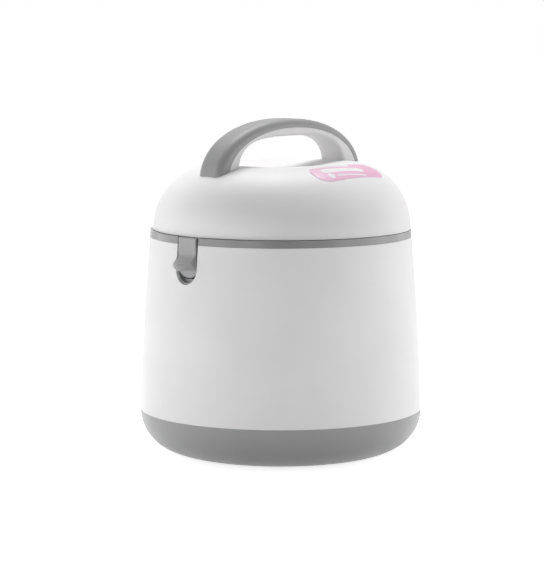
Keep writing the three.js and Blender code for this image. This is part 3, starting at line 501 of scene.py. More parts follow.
def rounded(outline, radius=edge, steps=4, least=radians(rounded_degrees)):
    """A closed outline with its sharp corners rounded, but not one on the axis."""
    made = []
    for i, corner in enumerate(outline):
        here = Vector(corner)
        back = Vector(outline[i - 1]) - here
        on = Vector(outline[(i + 1) % len(outline)]) - here
        if min(back.length, on.length) < tiny:
            continue
        turn = pi - back.angle(on)
        if turn < least or abs(here.x) < tiny:
            made.append(tuple(here))
            continue
        reach = min(radius * tan(turn / 2), *(side.length * corner_reach_share for side in (back, on)))
        true_radius = reach / tan(turn / 2)
        centre = here + (back.normalized() + on.normalized()).normalized() * true_radius / cos(turn / 2)
        first = here + back.normalized() * reach - centre
        last = here + on.normalized() * reach - centre
        for k in range(steps + 1):
            share = k / steps
            spoke = first * sin((1 - share) * turn) + last * sin(share * turn)
            made.append(tuple(centre + spoke / sin(turn)))
    return made


def settle(piece):
    """Puts what its modifiers make into its own mesh."""
    bpy.context.view_layer.update()
    made = bpy.data.meshes.new_from_object(piece.evaluated_get(bpy.context.evaluated_depsgraph_get()))
    old = piece.data
    piece.modifiers.clear()
    piece.data = made
    bpy.data.meshes.remove(old)
    return piece


def combine(piece, operation, *tools):
    """Joins other pieces to this one, or cuts them from it, and removes them."""
    for tool in tools:
        modifier = piece.modifiers.new("combine", "BOOLEAN")
        modifier.operation = operation
        modifier.solver = "EXACT"
        modifier.object = tool
        settle(piece)
        bpy.data.objects.remove(tool)
    return piece


def cut(piece, *tools):
    return combine(piece, "DIFFERENCE", *tools)


def join(piece, *tools):
    return combine(piece, "UNION", *tools)


def softened(piece, width):
    """Rounds a piece's sharp edges."""
    modifier = piece.modifiers.new("soften", "BEVEL")
    modifier.width = width
    modifier.segments = 3
    modifier.limit_method = "ANGLE"
    modifier.angle_limit = radians(softened_degrees)
    return settle(piece)


def dress(piece, node, look, body="body"):
    """Names and shades a finished piece, gives it its look's material and its body, and lets it stand for its
    node.
    """
    slot, material = look
    piece.name = piece.data.name = node
    piece.data.shade_smooth()
    piece.data.set_sharp_from_angle(angle=radians(sharp_degrees))
    weighted = piece.modifiers.new("normals", "WEIGHTED_NORMAL")
    weighted.keep_sharp = True
    piece.data.materials.clear()
    piece.data.materials.append(material)
    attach(piece, body)
    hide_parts(node)


# Materials. A look is a slot of the part's material table and a material.
plastic_cloud = 14.0
plastic_waves = 60.0
plastic_bump = 0.1 * mm
gloss_swing = 0.03
steel_cloud = 22.0
steel_tones = (0.93, 1.05)
steel_lines = 2600.0
steel_stretch = 14.0
steel_detail = 5.0
steel_noise = 0.7
steel_smoother = 0.05
steel_rougher = 0.06
steel_depth = 0.03
steel_bump = 0.05 * mm


class Graph:
    """The nodes of a material or the world, each with its inputs given by name."""

    def __init__(self, owner, shader="Principled BSDF"):
        owner.use_nodes = True
        self.owner = owner
        self.tree = owner.node_tree
        self.shader = self.tree.nodes[shader]

    def add(self, kind, inputs=(), **settings):
        node = self.tree.nodes.new(kind)
        for key, value in settings.items():
            setattr(node, key, value)
        self.fill(node, inputs)
        return node

    def fill(self, node, inputs):
        """Sets a node's inputs, or links them."""
        for key, value in dict(inputs).items():
            if isinstance(value, bpy.types.NodeSocket):
                self.tree.links.new(value, node.inputs[key])
            else:
                node.inputs[key].default_value = value

    def place(self):
        return self.add("ShaderNodeTexCoord").outputs["Object"]

    def maths(self, operation, *values):
        return self.add("ShaderNodeMath", enumerate(values), operation=operation).outputs[0]

    def vectors(self, operation, *values):
        return self.add("ShaderNodeVectorMath", enumerate(values), operation=operation).outputs[0]

    def length(self, vector):
        return self.add("ShaderNodeVectorMath", {0: vector}, operation="LENGTH").outputs["Value"]

    def noise(self, place, scale, detail=3.0, roughness=0.5):
        inputs = {"Vector": place, "Scale": scale, "Detail": detail, "Roughness": roughness}
        return self.add("ShaderNodeTexNoise", inputs).outputs["Fac"]

    def between(self, value, low, high, start=0.3, end=0.7):
        inputs = {"Value": value, "From Min": start, "From Max": end, "To Min": low, "To Max": high}
        return self.add("ShaderNodeMapRange", inputs).outputs["Result"]

    def colours(self, share, first, second):
        inputs = {"Factor": share, 6: first, 7: second}
        return self.add("ShaderNodeMix", inputs, data_type="RGBA").outputs[2]

    def bump(self, height, strength, distance):
        inputs = {"Height": height, "Strength": strength, "Distance": distance}
        return self.add("ShaderNodeBump", inputs).outputs["Normal"]


def shade(colour, factor):
    return tuple(min(c * factor, 1.0) for c in colour) + (1.0,)


def plastic(name, slot, colour, roughness, grain=1400.0, depth=0.02, mottle=0.02, specular=0.5):
    """Moulded plastic: a faint unevenness of colour, a fine grain and gentle flow waves in its gloss."""
    graph = Graph(bpy.data.materials.new(name))
    place = graph.place()
    cloud = graph.between(graph.noise(place, plastic_cloud), 0.0, 1.0)
    fine = graph.noise(place, grain, 2.0)
    waves = graph.noise(place, plastic_waves, 2.0)
    swing = graph.between(waves, roughness - gloss_swing, roughness + gloss_swing)
    graph.fill(graph.shader, {
        "Base Color": graph.colours(cloud, shade(colour, 1 - mottle), shade(colour, 1 + mottle)),
        "Roughness": graph.maths("ADD", graph.between(fine, -gloss_swing, gloss_swing), swing),
        "Specular IOR Level": specular,
        "Normal": graph.bump(fine, depth, plastic_bump),
    })
    return slot, graph.owner


def steel(name, slot, colour, roughness, turned=True):
    """Stainless steel, brushed round its axis or left with a fine even grain."""
    graph = Graph(bpy.data.materials.new(name))
    place = graph.place()
    stretch = steel_stretch if turned else 1.0
    drawn = graph.add("ShaderNodeMapping", {"Vector": place, "Scale": (1.0, 1.0, stretch)}).outputs["Vector"]
    brushing = graph.noise(drawn, steel_lines / stretch, steel_detail, steel_noise)
    cloud = graph.between(graph.noise(place, steel_cloud), 0.0, 1.0)
    graph.fill(graph.shader, {
        "Base Color": graph.colours(cloud, *(shade(colour, tone) for tone in steel_tones)),
        "Metallic": 1.0,
        "Roughness": graph.between(brushing, roughness - steel_smoother, roughness + steel_rougher),
        "Normal": graph.bump(brushing, steel_depth, steel_bump),
    })
    return slot, graph.owner


white = plastic("white_plastic", "white_plastic", (0.865, 0.855, 0.86), 0.46, specular=0.3)
# A darker copy of the white plastic: painted shade for the handle's core, which sits under the cover.
pale = plastic("shaded_white_plastic", "white_plastic", (0.74, 0.735, 0.74), 0.46, specular=0.3)
grey = plastic("grey_plastic", "grey_plastic", (0.31, 0.31, 0.314), 0.36, 1900.0, 0.02, 0.03)
# A lighter copy of the grey plastic: painted light that brightens the latch lever and its pocket in the
# recess's shade.
recess_lit_grey = plastic("recess_lit_grey_plastic", "grey_plastic", (0.365, 0.365, 0.369), 0.36, 1900.0, 0.02, 0.03)
matte_grey = plastic("matte_grey_plastic", "grey_plastic", (0.29, 0.29, 0.294), 0.5, 1900.0, 0.03, 0.03)
glossy_grey = plastic("glossy_grey_plastic", "grey_plastic", (0.24, 0.24, 0.243), 0.21, 1900.0, 0.01, 0.03)
dark_grey = plastic("dark_grey_plastic", "dark_grey_plastic", (0.25, 0.25, 0.255), 0.5, 1600.0, 0.06, 0.04)
black = plastic("black_plastic", "black_plastic", (0.028, 0.028, 0.03), 0.42, depth=0.05, mottle=0.08)
rubber = plastic("foot_rubber", "rubber", (0.045, 0.045, 0.047), 0.8, 900.0, 0.25, 0.1, 0.3)
silicone = plastic("silicone", "silicone", (0.62, 0.61, 0.585), 0.55, 700.0, 0.06, 0.03)
foam = plastic("foam", "foam", (0.82, 0.75, 0.55), 0.95, 450.0, 0.6, 0.06, 0.1)
brushed = steel("brushed_steel", "steel", (0.66, 0.66, 0.67), 0.27)
wire_steel = steel("wire_steel", "steel", (0.64, 0.64, 0.65), 0.3, turned=False)
screw_steel = steel("screw_steel", "screw_steel", (0.42, 0.43, 0.45), 0.36, turned=False)
disc_steel = steel("disc_steel", "disc_steel", (0.45, 0.45, 0.46), 0.42)


def box_distance(graph, place, middle, half):
    """How far a point lies outside a flat box with round ends, negative inside."""
    rounding = min(half)
    folded = graph.vectors("ABSOLUTE", graph.vectors("SUBTRACT", place, (*middle, 0)))
    beyond = graph.vectors("SUBTRACT", folded, (half[0] - rounding, half[1] - rounding, 1))
    return graph.maths("SUBTRACT", graph.length(graph.vectors("MAXIMUM", beyond, (0, 0, 0))), rounding)


def label_material():
    """Pink film, deeper in colour towards its back end, with plain white bars and a dot in place of print."""
    graph = Graph(bpy.data.materials.new("label_film"))
    place = graph.place()
    centre = (lid_radius * label_x_share, lid_radius * label_y_share, 0)
    inputs = {"Vector": place, "Location": centre, "Rotation": (0, 0, radians(print_degrees))}
    local = graph.add("ShaderNodeMapping", inputs, vector_type="TEXTURE").outputs["Vector"]
    flat = graph.vectors("MULTIPLY", local, (1, 1, 0))
    half = lid_radius * label_length_share / 2
    along = graph.add("ShaderNodeSeparateXYZ", {"Vector": flat}).outputs["X"]
    cloudy = graph.maths("ADD", along, graph.between(graph.noise(place, label_cloud), -half / 4, half / 4))
    tone = graph.colours(graph.between(cloudy, 0.0, 1.0, -half, half), label_pink, label_deep_pink)
    for middle, size in label_bars:
        inside = box_distance(graph, flat, middle, size)
        tone = graph.colours(graph.between(inside, 1.0, 0.0, -label_blur, label_blur), tone, label_white)
    fine = graph.noise(place, label_grain, 2.0)
    graph.fill(graph.shader, {
        "Base Color": tone,
        "Roughness": graph.between(fine, *label_gloss),
        "Normal": graph.bump(fine, label_depth, plastic_bump),
    })
    return "label", graph.owner


label_film = label_material()


# Forms that several pieces share
def shell_radius(z):
    share = (z - seam_height) / shell_height
    return seam_radius + (shell_top_radius - seam_radius) * share + 4 * shell_belly * share * (1 - share)


def front_radius(z):
    """The radius of the body's face, over the shell and then the ring."""
    if z <= shell_top:
        return shell_radius(z)
    share = min((z - shell_top) / (ring_top - shell_top), 1.0)
    return shell_top_radius + (ring_top_radius - shell_top_radius) * share


def recess_line(half, top):
    """Points (x, z) down one side of a U, round its bottom and up its other side."""
    centre = recess_bottom + recess_half
    down = [(half, top + (centre - top) * i / recess_steps) for i in range(recess_steps)]
    bottom = arc(0, centre, half, 0, -180, 2 * recess_steps)
    return down + bottom + [(-x, z) for x, z in reversed(down)]


def recess_tool(half, top, back):
    """Cuts a U-shaped window through the body's face, with its front edge rounded."""
    loops = []
    stations = [(window_rounding, -overrun)]
    turns = quarter_steps(corner_steps)
    stations += [(window_rounding * (1 - sin(t)), window_rounding * (1 - cos(t))) for t in turns]
    for grown, depth in stations:
        line = recess_line(half + grown, top)
        loops.append([(x, depth - sqrt(front_radius(z) ** 2 - x**2), z) for x, z in line])
    loops.append([(x, -back, z) for x, z in recess_line(half, top)])
    return loft(loops)


def stretched(point):
    """Where a point of a plain dome lies on the lid, which leans back and grows longer upwards."""
    x, y, z = point
    up = (z - lid_bottom) / lid_height
    stretch = lid_stretch_share * up
    return (x * (1 - stretch), y * (1 + stretch) + lid_set_back + lid_lean * up, z)


def dome_curve(margin, low=lid_bottom):
    """The lid's outline from its lower edge up over the crest and down into the dish."""
    crest = lid_top + margin
    side = superellipse(lid_radius + margin, lid_bottom, lid_crest_radius, crest, lid_power)
    if low < lid_bottom:
        side = [(lid_radius + margin, low)] + side
    dish = []
    for i in range(1, curve_steps + 1):
        r = lid_crest_radius * (1 - i / curve_steps)
        dip = (1 + cos(pi * r / lid_crest_radius)) / 2
        dish.append((r, crest - lid_dish_depth * dip))
    return side + dish


def reshape(piece, move):
    for vertex in piece.data.vertices:
        vertex.co = move(vertex.co)
    return piece


def dome_tool(margin):
    outline = dome_curve(margin, lid_bottom - overrun) + [(0, lid_bottom - overrun)]
    return reshape(lathe(outline), stretched)


def four_places(circle, first):
    turns = [radians(first) + quarter * i for i in range(4)]
    return [(circle * cos(t), circle * sin(t)) for t in turns]


# Body
def base_cover():
    top = seam_height - hair
    inner_bottom = base_underside + base_wall
    lip_outer = seam_radius - shell_wall - seam
    lip_inner = lip_outer - base_lip_wall
    lip_top = top + base_lip_height
    outside = superellipse(seam_radius, top, base_flat_radius, base_underside, base_power)
    inside = superellipse(lip_inner, top - base_wall, base_flat_radius - base_wall, inner_bottom, base_power)
    outline = [(0, base_underside)] + outside[::-1] + [(lip_outer, top), (lip_outer, lip_top)]
    outline += [(lip_inner, lip_top)] + inside + [(0, inner_bottom)]
    bowl = lathe(rounded(outline, fine_edge))
    head = base_screw.head + seam
    boss_top = base_underside + screw_boss_height
    low = base_underside - overrun
    for x, y in four_places(screw_circle, 0):
        join(bowl, post(head + screw_boss_wall, x, y, base_underside + base_wall / 2, boss_top))
        well = post(head, x, y, low, base_screw_seat + seam)
        cut(bowl, well, post(base_screw.radius + seam, x, y, low, boss_top + overrun))
    dress(bowl, "base_cover", grey)


def outer_shell():
    tall = ring_bottom - hair - seam_height
    rows = [seam_height + tall * i / curve_steps for i in range(curve_steps + 1)]
    outline = [(shell_radius(z), z) for z in rows] + [(shell_radius(z) - shell_wall, z) for z in rows[::-1]]
    shell = lathe(rounded(outline, hair))
    cut(shell, recess_tool(recess_half + pocket_wall + seam, shell_top + overrun, recess_back))
    dress(shell, "outer_shell", white)


def rim_ring():
    rib_outer = shell_top_radius - shell_wall - seam
    rib_inner = rib_outer - ring_rib_wall
    riser = recess_back + pocket_wall
    lip_inner = mouth_radius + ring_shelf_gap
    outline = stairs(
        *(lip_inner, shelf_bottom, riser + ring_wall, ring_top - ring_wall, rib_inner),
        *(ring_bottom - ring_rib_depth, rib_outer, ring_bottom, shell_top_radius),
    )
    outline += stairs(ring_top_radius, ring_top, riser, shelf_top, lip_inner)
    ring = lathe(rounded(outline, fine_edge))
    back = recess_back + pocket_wall / 2
    cut(ring, recess_tool(recess_half + pocket_wall + seam, ring_top + overrun, back))
    reach = degrees(asin((ring_top - hinge_height) / barrel_radius))
    barrel = arc(hinge_out, hinge_height, barrel_radius, 180 + reach, 540 - reach, barrel_steps)
    outline = [(rib_inner, ring_bottom)] + barrel + [(rib_inner, ring_top)]
    for side in (-1, 1):
        low, high = sorted((side * (knuckle_half + seam), side * hinge_half))
        join(ring, across(outline, low, high))
    cut(ring, pin_bore(hinge_pin_radius, hinge_half + overrun, hinge_out, hinge_height))
    dress(ring, "rim_ring", glossy_grey)


def latch_pocket():
    half = recess_half + pocket_wall
    line = recess_line(half, ring_top)
    back = recess_back - pocket_back_wall
    front = [(x, pocket_front - sqrt(front_radius(z) ** 2 - x**2), z) for x, z in line]
    pocket = loft([front, [(x, -back, z) for x, z in line]])
    hollow = recess_line(recess_half, ring_top + overrun)
    room = loft([[(x, -out, z) for x, z in hollow] for out in (lip_out, recess_back)])
    step_low = (-half, -pocket_step_out, recess_bottom - overrun)
    cut(room, block(step_low, (half, overrun - recess_back, recess_bottom + pocket_step_height)))
    shelf = flange_top - vessel_wall - seam
    wide = recess_half + overrun
    near = -recess_back - pocket_wall
    cut(pocket, room, block((-wide, near, shelf), (wide, overrun - back, ring_top + overrun)))
    for side in (-1, 1):
        start = (side * (half - pocket_wall / 2), -pivot_out, pivot_height)
        end = (side * (half + latch_pin_overhang), -pivot_out, pivot_height)
        join(pocket, rod(pocket_boss, start, end))
    reach = half + latch_pin_overhang + overrun
    cut(pocket, pin_bore(latch_pin_radius, reach, -pivot_out, pivot_height))
    # The pocket takes the lighter copy of the grey plastic: painted light against the recess's shade.
    dress(softened(pocket, fine_edge), "latch_pocket", recess_lit_grey)


def pin_bore(radius, half, y, z):
    return rod(radius + running, (-half, y, z), (half, y, z))


def pin(name, radius, half, y, z):
    dress(rod(radius, (-half, y, z), (half, y, z), rounding=radius / 3), name, screw_steel)


def vessel_inner():
    radius = mouth_radius + vessel_wall
    sizes = (radius, vessel_floor, flange_top, vessel_corner, vessel_wall, mouth_flange, vessel_wall)
    dress(cup(*sizes), "vessel_inner", brushed)


def cup(radius, bottom, top, corner, wall, brim_width, brim_height):
    """A round sheet cup with a rounded corner at its bottom and a brim."""
    outline = [(0, bottom)] + arc(radius - corner, bottom + corner, corner, -90, 0, cup_steps)
    outline += stairs(radius, top - brim_height, radius + brim_width, top, radius - wall)
    outline += arc(radius - corner, bottom + corner, corner - wall, 0, -90, cup_steps) + [(0, bottom + wall)]
    return lathe(rounded(outline, wall * sheet_round_share), inner_steps)


def foot(name, x, y):
    outline = [(0, foot_dimple_depth), (foot_dimple, foot_dimple_depth)]
    outline += stairs(foot_dimple + foot_dimple_depth, 0, foot_radius, foot_thickness, 0)
    dress(lathe(rounded(outline, foot_thickness / 2), inner_steps // 2, (x, y, 0)), name, rubber)


def screw(name, body, size, x, y, seat):
    """A screw with a domed head below its seat, a cross in the head and a shank upwards."""
    radius, head, tall, length = size
    outline = [(0, -tall)]
    outline += [(head * sin(t), -tall * blend(screw_rim_share, 1, cos(t))) for t in coarse_turns[1:]]
    outline += [(head, 0), (radius, 0), (radius, length - radius / 2), (radius / 2, length), (0, length)]
    made = lathe(rounded(outline, fine_edge), small_steps, (x, y, seat))
    arm, thick = head * screw_arm_share, head * screw_slot_share
    for long, wide in ((arm, thick), (thick, arm)):
        low = (x - long, y - wide, seat - tall - overrun)
        cut(made, block(low, (x + long, y + wide, seat - tall * screw_rim_share)))
    dress(made, name, screw_steel, body)


def screws(name, body, size, places, seat):
    for i, (x, y) in enumerate(places):
        screw(f"{name}_{i + 1}", body, size, x, y, seat)


# Pot
def inner_pot():
    sizes = (pot_radius, pot_bottom, pot_top, pot_corner, pot_wall, pot_bead_width, pot_bead_height)
    pot = cup(*sizes)
    for side in (-1, 1):
        drill_rivets(pot, side, pot_radius)
    dress(pot, "inner_pot", brushed)


def drill_rivets(piece, side, out):
    """Cuts the holes for an ear's two rivets, through a wall at a distance from the axis."""
    for end in (-1, 1):
        y = end * rivet_spacing / 2
        start = (side * (out - overrun), y, rivet_z)
        cut(piece, rod(rivet_radius + seam / 2, start, (side * (out + overrun), y, rivet_z)))


def pot_disc():
    outline = rectangle((0, pot_disc_bottom), (pot_disc_radius, pot_disc_bottom + pot_disc_thickness))
    disc = lathe(rounded(outline, 2 * edge), inner_steps)
    dress(disc, "pot_base_disc", disc_steel)


def pot_ear(name, side):
    """A curved plate on the pot's side, and a tab that stands out with an eye for the bail."""
    inner = pot_radius + seam
    corner = ear_height / 4
    loops = []
    for i in range(small_steps + 1):
        y = -ear_width / 2 * cos(pi * i / small_steps)
        past = max(abs(y) - (ear_width / 2 - corner), 0) / corner
        half = ear_height / 2 - corner * (1 - sqrt(max(1 - past**2, 0)))
        near = sqrt(inner**2 - y**2)
        far = sqrt((inner + ear_thickness) ** 2 - y**2)
        section = rounded(rectangle((near, -half), (far, half)), sheet_edge)
        loops.append([(side * x, y, bail_z + z) for x, z in section])
    ear = loft(loops)
    tip = bail_radius + bail_wire + bail_clearance + ear_tab_rim
    half = ear_height / 2
    outline = rounded(rectangle((inner + ear_thickness / 2, -half), (tip, half)), corner)
    half = ear_tab_width / 2
    join(ear, slab(outline, -half, half, lambda x, z, y: (side * x, y, bail_z + z), sheet_edge))
    place = (side * bail_radius, -overrun, bail_z)
    cut(ear, rod(bail_wire + bail_clearance, place, (side * bail_radius, overrun, bail_z)))
    drill_rivets(ear, side, inner)
    dress(ear, name, wire_steel)


def rivet(name, side, y):
    """Two domed heads on a shank through the pot's side and its ear."""
    start = sqrt((pot_radius - pot_wall) ** 2 - y**2) - seam / 3
    end = sqrt((pot_radius + seam + ear_thickness) ** 2 - y**2) + seam / 3
    dome = [(rivet_head * sin(t), rivet_head_height * cos(t)) for t in coarse_turns]
    outline = [(r, start - h) for r, h in dome] + [(rivet_radius, start), (rivet_radius, end)]
    outline += [(r, end + h) for r, h in dome[::-1]]
    dress(lathe(outline, small_steps, (0, y, rivet_z), (side, 0, 0)), name, wire_steel)


def pot_bail():
    """Half a ring of wire that leans down on the pot's side, with a straight tail through each ear."""
    tilt = acos((pot_radius + seam + bail_wire) / bail_radius)
    half_ring = [pi * i / bail_steps for i in range(bail_steps + 1)]
    flat = [(bail_radius, -bail_tail)]
    flat += [(bail_radius * cos(t), bail_radius * sin(t)) for t in half_ring] + [(-bail_radius, -bail_tail)]
    path = [(x, -out * cos(tilt), bail_z - out * sin(tilt)) for x, out in flat]
    dress(wire(path, bail_wire), "pot_bail", wire_steel)


def pot_lid():
    outer = pot_radius + pot_lid_overhang
    collar = pot_radius - pot_wall - 2 * seam
    collar_bottom = pot_lid_bottom - pot_lid_collar
    rim_top = pot_lid_bottom + pot_wall
    crown = [(collar * (1 - s), pot_lid_rise * (1 - (1 - s) ** 2)) for s in even_shares(crown_steps)]
    outline = [(r, pot_lid_bottom + h) for r, h in crown[:0:-1]]
    outline += [(collar - pot_wall, pot_lid_bottom), (collar - pot_wall, collar_bottom)]
    outline += [(collar, collar_bottom), (collar, pot_lid_bottom), (outer, pot_lid_bottom)]
    outline += [(outer, rim_top)] + [(r, rim_top + h) for r, h in crown]
    lid = lathe(rounded(outline, sheet_edge), inner_steps)
    cut(lid, post(knob_screw.radius + seam, 0, 0, pot_lid_bottom, knob_seat + overrun))
    dress(lid, "pot_lid", brushed)


def pot_lid_knob():
    top = knob_seat + knob_height
    outline = stairs(0, knob_seat, knob_stem, knob_seat + knob_height / 3)
    outline += [(knob_radius - knob_height / 6, knob_seat + knob_height / 2)]
    outline += [(knob_radius, knob_seat + knob_height * 2 / 3)]
    outline += [(knob_radius - knob_height / 4, top - knob_height / 12), (knob_radius / 2, top), (0, top)]
    least = radians(knob_rounded_degrees)
    knob = lathe(rounded(outline, knob_rounding, knob_round_steps, least), inner_steps)
    hole_top = knob_screw_seat + knob_screw.length + seam
    cut(knob, post(knob_screw.radius + seam, 0, 0, knob_seat - overrun, hole_top))
    dress(knob, "pot_lid_knob", black)


# Latch
def lever_outline():
    """The lever's outline from the side without its lip: plate, tongue, boss and hook."""
    plate_in = lever_out - lever_plate
    outline = [(lever_out, lever_top), (lever_out, sweep_top), (lever_out, lip_bottom)]
    for share in even_shares(tongue_steps):
        out = blend(tongue_out, tongue_bottom_out, share)
        outline.append((out, blend(tongue_top, tongue_bottom, share)))
    outline += [(tongue_inner_out, tongue_bottom)]
    outline += arc(pivot_out, pivot_height, pivot_boss, -90, -270, boss_steps)
    outline += [(plate_in, pivot_height + pivot_boss)]
    outline += stairs(plate_in, hook_bottom, plate_in - hook_depth, hook_bottom + hook_height / 3)
    outline += [(plate_in, hook_bottom + hook_height), (plate_in, lever_top)]
    return rounded(outline, lever_edge * corner_share, corner_steps)


def lip_curve(reach):
    """The finger lip from the side: hollow top, rim and underside, full at the middle and thin beside."""
    if reach < hair:
        return [(lever_out, blend(sweep_top, lip_bottom, i / lip_points)) for i in range(1, lip_points)]
    nose = (reach / lip_reach) ** lip_nose_power
    rim = min(lip_rim, reach / 2)
    hollow = lip_reach - lip_thickness / 2
    inner = reach - rim
    made = []
    for share in even_shares(lip_steps)[1:]:
        out = inner * share**2
        fall = sqrt(1 - (1 - min(out / hollow, 1)) ** 2)
        made.append((lever_out + out, blend(sweep_top, lip_height + lip_thickness / 2, fall)))
    brink = made[-1][1] - rim
    made += [(lever_out + inner + rim * sin(t), brink + rim * cos(t)) for t in quarter_steps(rim_steps)[1:]]
    for share in even_shares(lip_steps + 1)[1:-1]:
        back = reach * share**crowding_power
        fall = sqrt(1 - (1 - min(back / lip_undercut, 1)) ** 2)
        made.append((lever_out + reach - back, blend(brink, lip_bottom, blend(back / reach, fall, nose))))
    return made


def latch_lever():
    """Slices across its width. Its lip is half an ellipse from above, its tongue's end from the front."""
    outline = lever_outline()
    start = min(range(len(outline)), key=lambda i: dist(outline[i], (lever_out, sweep_top))) + 1
    half = lever_half - lever_edge
    stations = [(half + lever_edge * sin(t), lever_edge * (1 - cos(t))) for t in coarse_turns[::-1]]
    stations += [(half * cos(quarter * s**crowding_power), 0) for s in even_shares(lever_steps)[1:]]
    stations += [(-x, inset) for x, inset in stations[-2::-1]]
    loops = []
    for x, inset in stations:
        reach = lip_reach * sqrt(max(1 - (x / half) ** 2, 0))
        low = tongue_bottom + tongue_round * (1 - sqrt(1 - (x / lever_half) ** 2))
        share = max((tongue_top - low) / (tongue_top - tongue_bottom), tongue_least_share)
        loop = []
        for out, z in inset_line(outline[:start] + lip_curve(reach) + outline[start:], inset):
            if z < tongue_top:
                z = blend(tongue_top, z, share)
            loop.append((x, -out, z))
        loops.append(loop)
    lever = loft(loops)
    cut(lever, pin_bore(latch_pin_radius, lever_half + overrun, -pivot_out, pivot_height))
    # The lever takes the lighter copy of the grey plastic: painted light against the recess's shade.
    dress(lever, "latch_lever", recess_lit_grey, "latch")


def latch_spring():
    coil = spring_radius - spring_wire
    start = -recess_back - seam - spring_wire
    path = []
    for share in even_shares(spring_turns * spring_steps):
        turn = 2 * pi * spring_turns * share
        path.append((coil * cos(turn), start - spring_length * share, spring_height + coil * sin(turn)))
    spring = wire(path, spring_wire, spring_sides)
    dress(spring, "latch_spring", wire_steel)
    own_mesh(spring)


def lid_catch():
    """A plate under the liner, and a tongue whose tooth points out, under the lever's hook."""
    top = lid_bottom - seam
    plate_bottom = top - catch_plate
    tooth_top = hook_bottom - seam
    face = lever_out - lever_plate - hook_depth - hook_gap
    tooth = face + catch_tooth
    inner = face - catch_tongue
    low = tooth_top - catch_tooth_height - catch_ramp
    plate = rectangle((catch_plate_depth - inner, plate_bottom), (-tooth, top))
    tooth_bottom = tooth_top - catch_tooth_height
    tongue = stairs(-inner, plate_bottom + catch_plate / 2, -face, tooth_top, -tooth, tooth_bottom)
    tongue += [(-face, low), (-inner, low)]
    catch = across(plate, -catch_plate_half, catch_plate_half, fine_edge)
    join(catch, across(tongue, -catch_half, catch_half, fine_edge))
    hole = catch_screw.radius + seam / 2
    drill(catch, hole, catch_screw_places, plate_bottom - overrun, top + overrun)
    dress(catch, "lid_catch", grey, "lid")


# Lid
def lid_cover():
    outline = dome_curve(0) + dome_curve(-lid_wall)[::-1]
    lid = reshape(lathe(rounded(outline, fine_edge)), stretched)
    start, end = [(side * knuckle_half, hinge_out, hinge_height) for side in (-1, 1)]
    knuckle = rod(barrel_radius, start, end, small_steps * 2, edge)
    arm_in = lid_radius - lid_wall
    outline = [(arm_in, lid_bottom), (hinge_out, lid_bottom)]
    outline += [(hinge_out + barrel_radius * arm_out_share, hinge_height + barrel_radius * arm_up_share)]
    outline += [(arm_in, lid_bottom + knuckle_arm_height)]
    arm = across(outline, -knuckle_half, knuckle_half)
    neck_low = (-knuckle_half + edge, hinge_out - barrel_radius * neck_share, hinge_height)
    neck = block(neck_low, (knuckle_half - edge, hinge_out, lid_bottom + seam))
    join(knuckle, cut(arm, dome_tool(-lid_wall / 2)), neck)
    join(lid, knuckle)
    cut(lid, pin_bore(hinge_pin_radius, hinge_half + overrun, hinge_out, hinge_height))
    drill(lid, handle_screw.radius + seam, handle_screw_places, lid_top - 2 * overrun, lid_top + overrun)
    dress(lid, "lid_cover", white, "lid")


def lid_liner():
    inner = plug_radius - liner_wall
    floor_top = plug_bottom + liner_wall
    top = lid_bottom + liner_wall
    plug = [(0, plug_bottom), (inner, plug_bottom), (plug_radius, floor_top)]
    plug += stairs(plug_radius, top, inner, floor_top, 0)
    flange = rectangle((plug_radius - liner_wall / 2, lid_bottom), (lid_radius - lid_wall - 2 * seam, top))
    liner = lathe(rounded(plug), inner_steps)
    wide = lathe(rounded(flange), inner_steps, (0, lid_set_back, 0))
    join(liner, cut(wide, post(inner, 0, 0, floor_top, lid_top, inner_steps)))
    places = four_places(liner_post_circle, 45)
    drill(liner, liner_screw.radius + seam, places, plug_bottom - overrun, floor_top + liner_wall)
    catch_hole = catch_screw.radius + seam / 2
    drill(liner, catch_hole, catch_screw_places, lid_bottom - overrun, lid_bottom + overrun)
    dress(liner, "lid_liner", dark_grey, "lid")


def lid_gasket():
    inner = plug_radius + seam
    outer = inner + gasket_width
    low = shelf_top + seam
    high = lid_bottom - seam
    lip = (high - low) / 3
    outline = [(inner, low + lip), (inner + lip, low), (outer, low), (outer, low + lip)]
    outline += [(outer - lip, high), (inner, high)]
    gasket = lathe(rounded(outline, lip / 2), inner_steps)
    dress(gasket, "lid_gasket", silicone, "lid")


def arch_point(turn, half_length, top, power, middle=0.0):
    along = copysign(abs(cos(turn)) ** (2 / power), cos(turn))
    up = sin(turn) ** (2 / power)
    return Vector((middle + half_length * along, blend(handle_foot, top, up)))


def arch(outer, inner, width, outer_rounding, inner_rounding):
    """The part of the handle between two arches. Each slice is a rectangle with rounded corners."""
    half = width / 2
    loops = []
    for i in range(arch_steps + 1):
        turn = pi * i / arch_steps
        far = arch_point(turn, *outer)
        near = arch_point(turn, *inner)
        depth = (far - near).length
        low, high = [
            [(half - r * (1 - cos(t)), min(r, depth * handle_round_share) * (1 - sin(t))) for t in fine_turns]
            for r in (inner_rounding, outer_rounding)
        ]
        section = low + [(-x, v) for x, v in low[::-1]]
        section += [(-x, depth - v) for x, v in high] + [(x, depth - v) for x, v in high[::-1]]
        spots = [(x, near + (far - near) * (v / depth)) for x, v in section]
        loops.append([(x, spot.x + handle_set_back, spot.y) for x, spot in spots])
    return loft(loops)


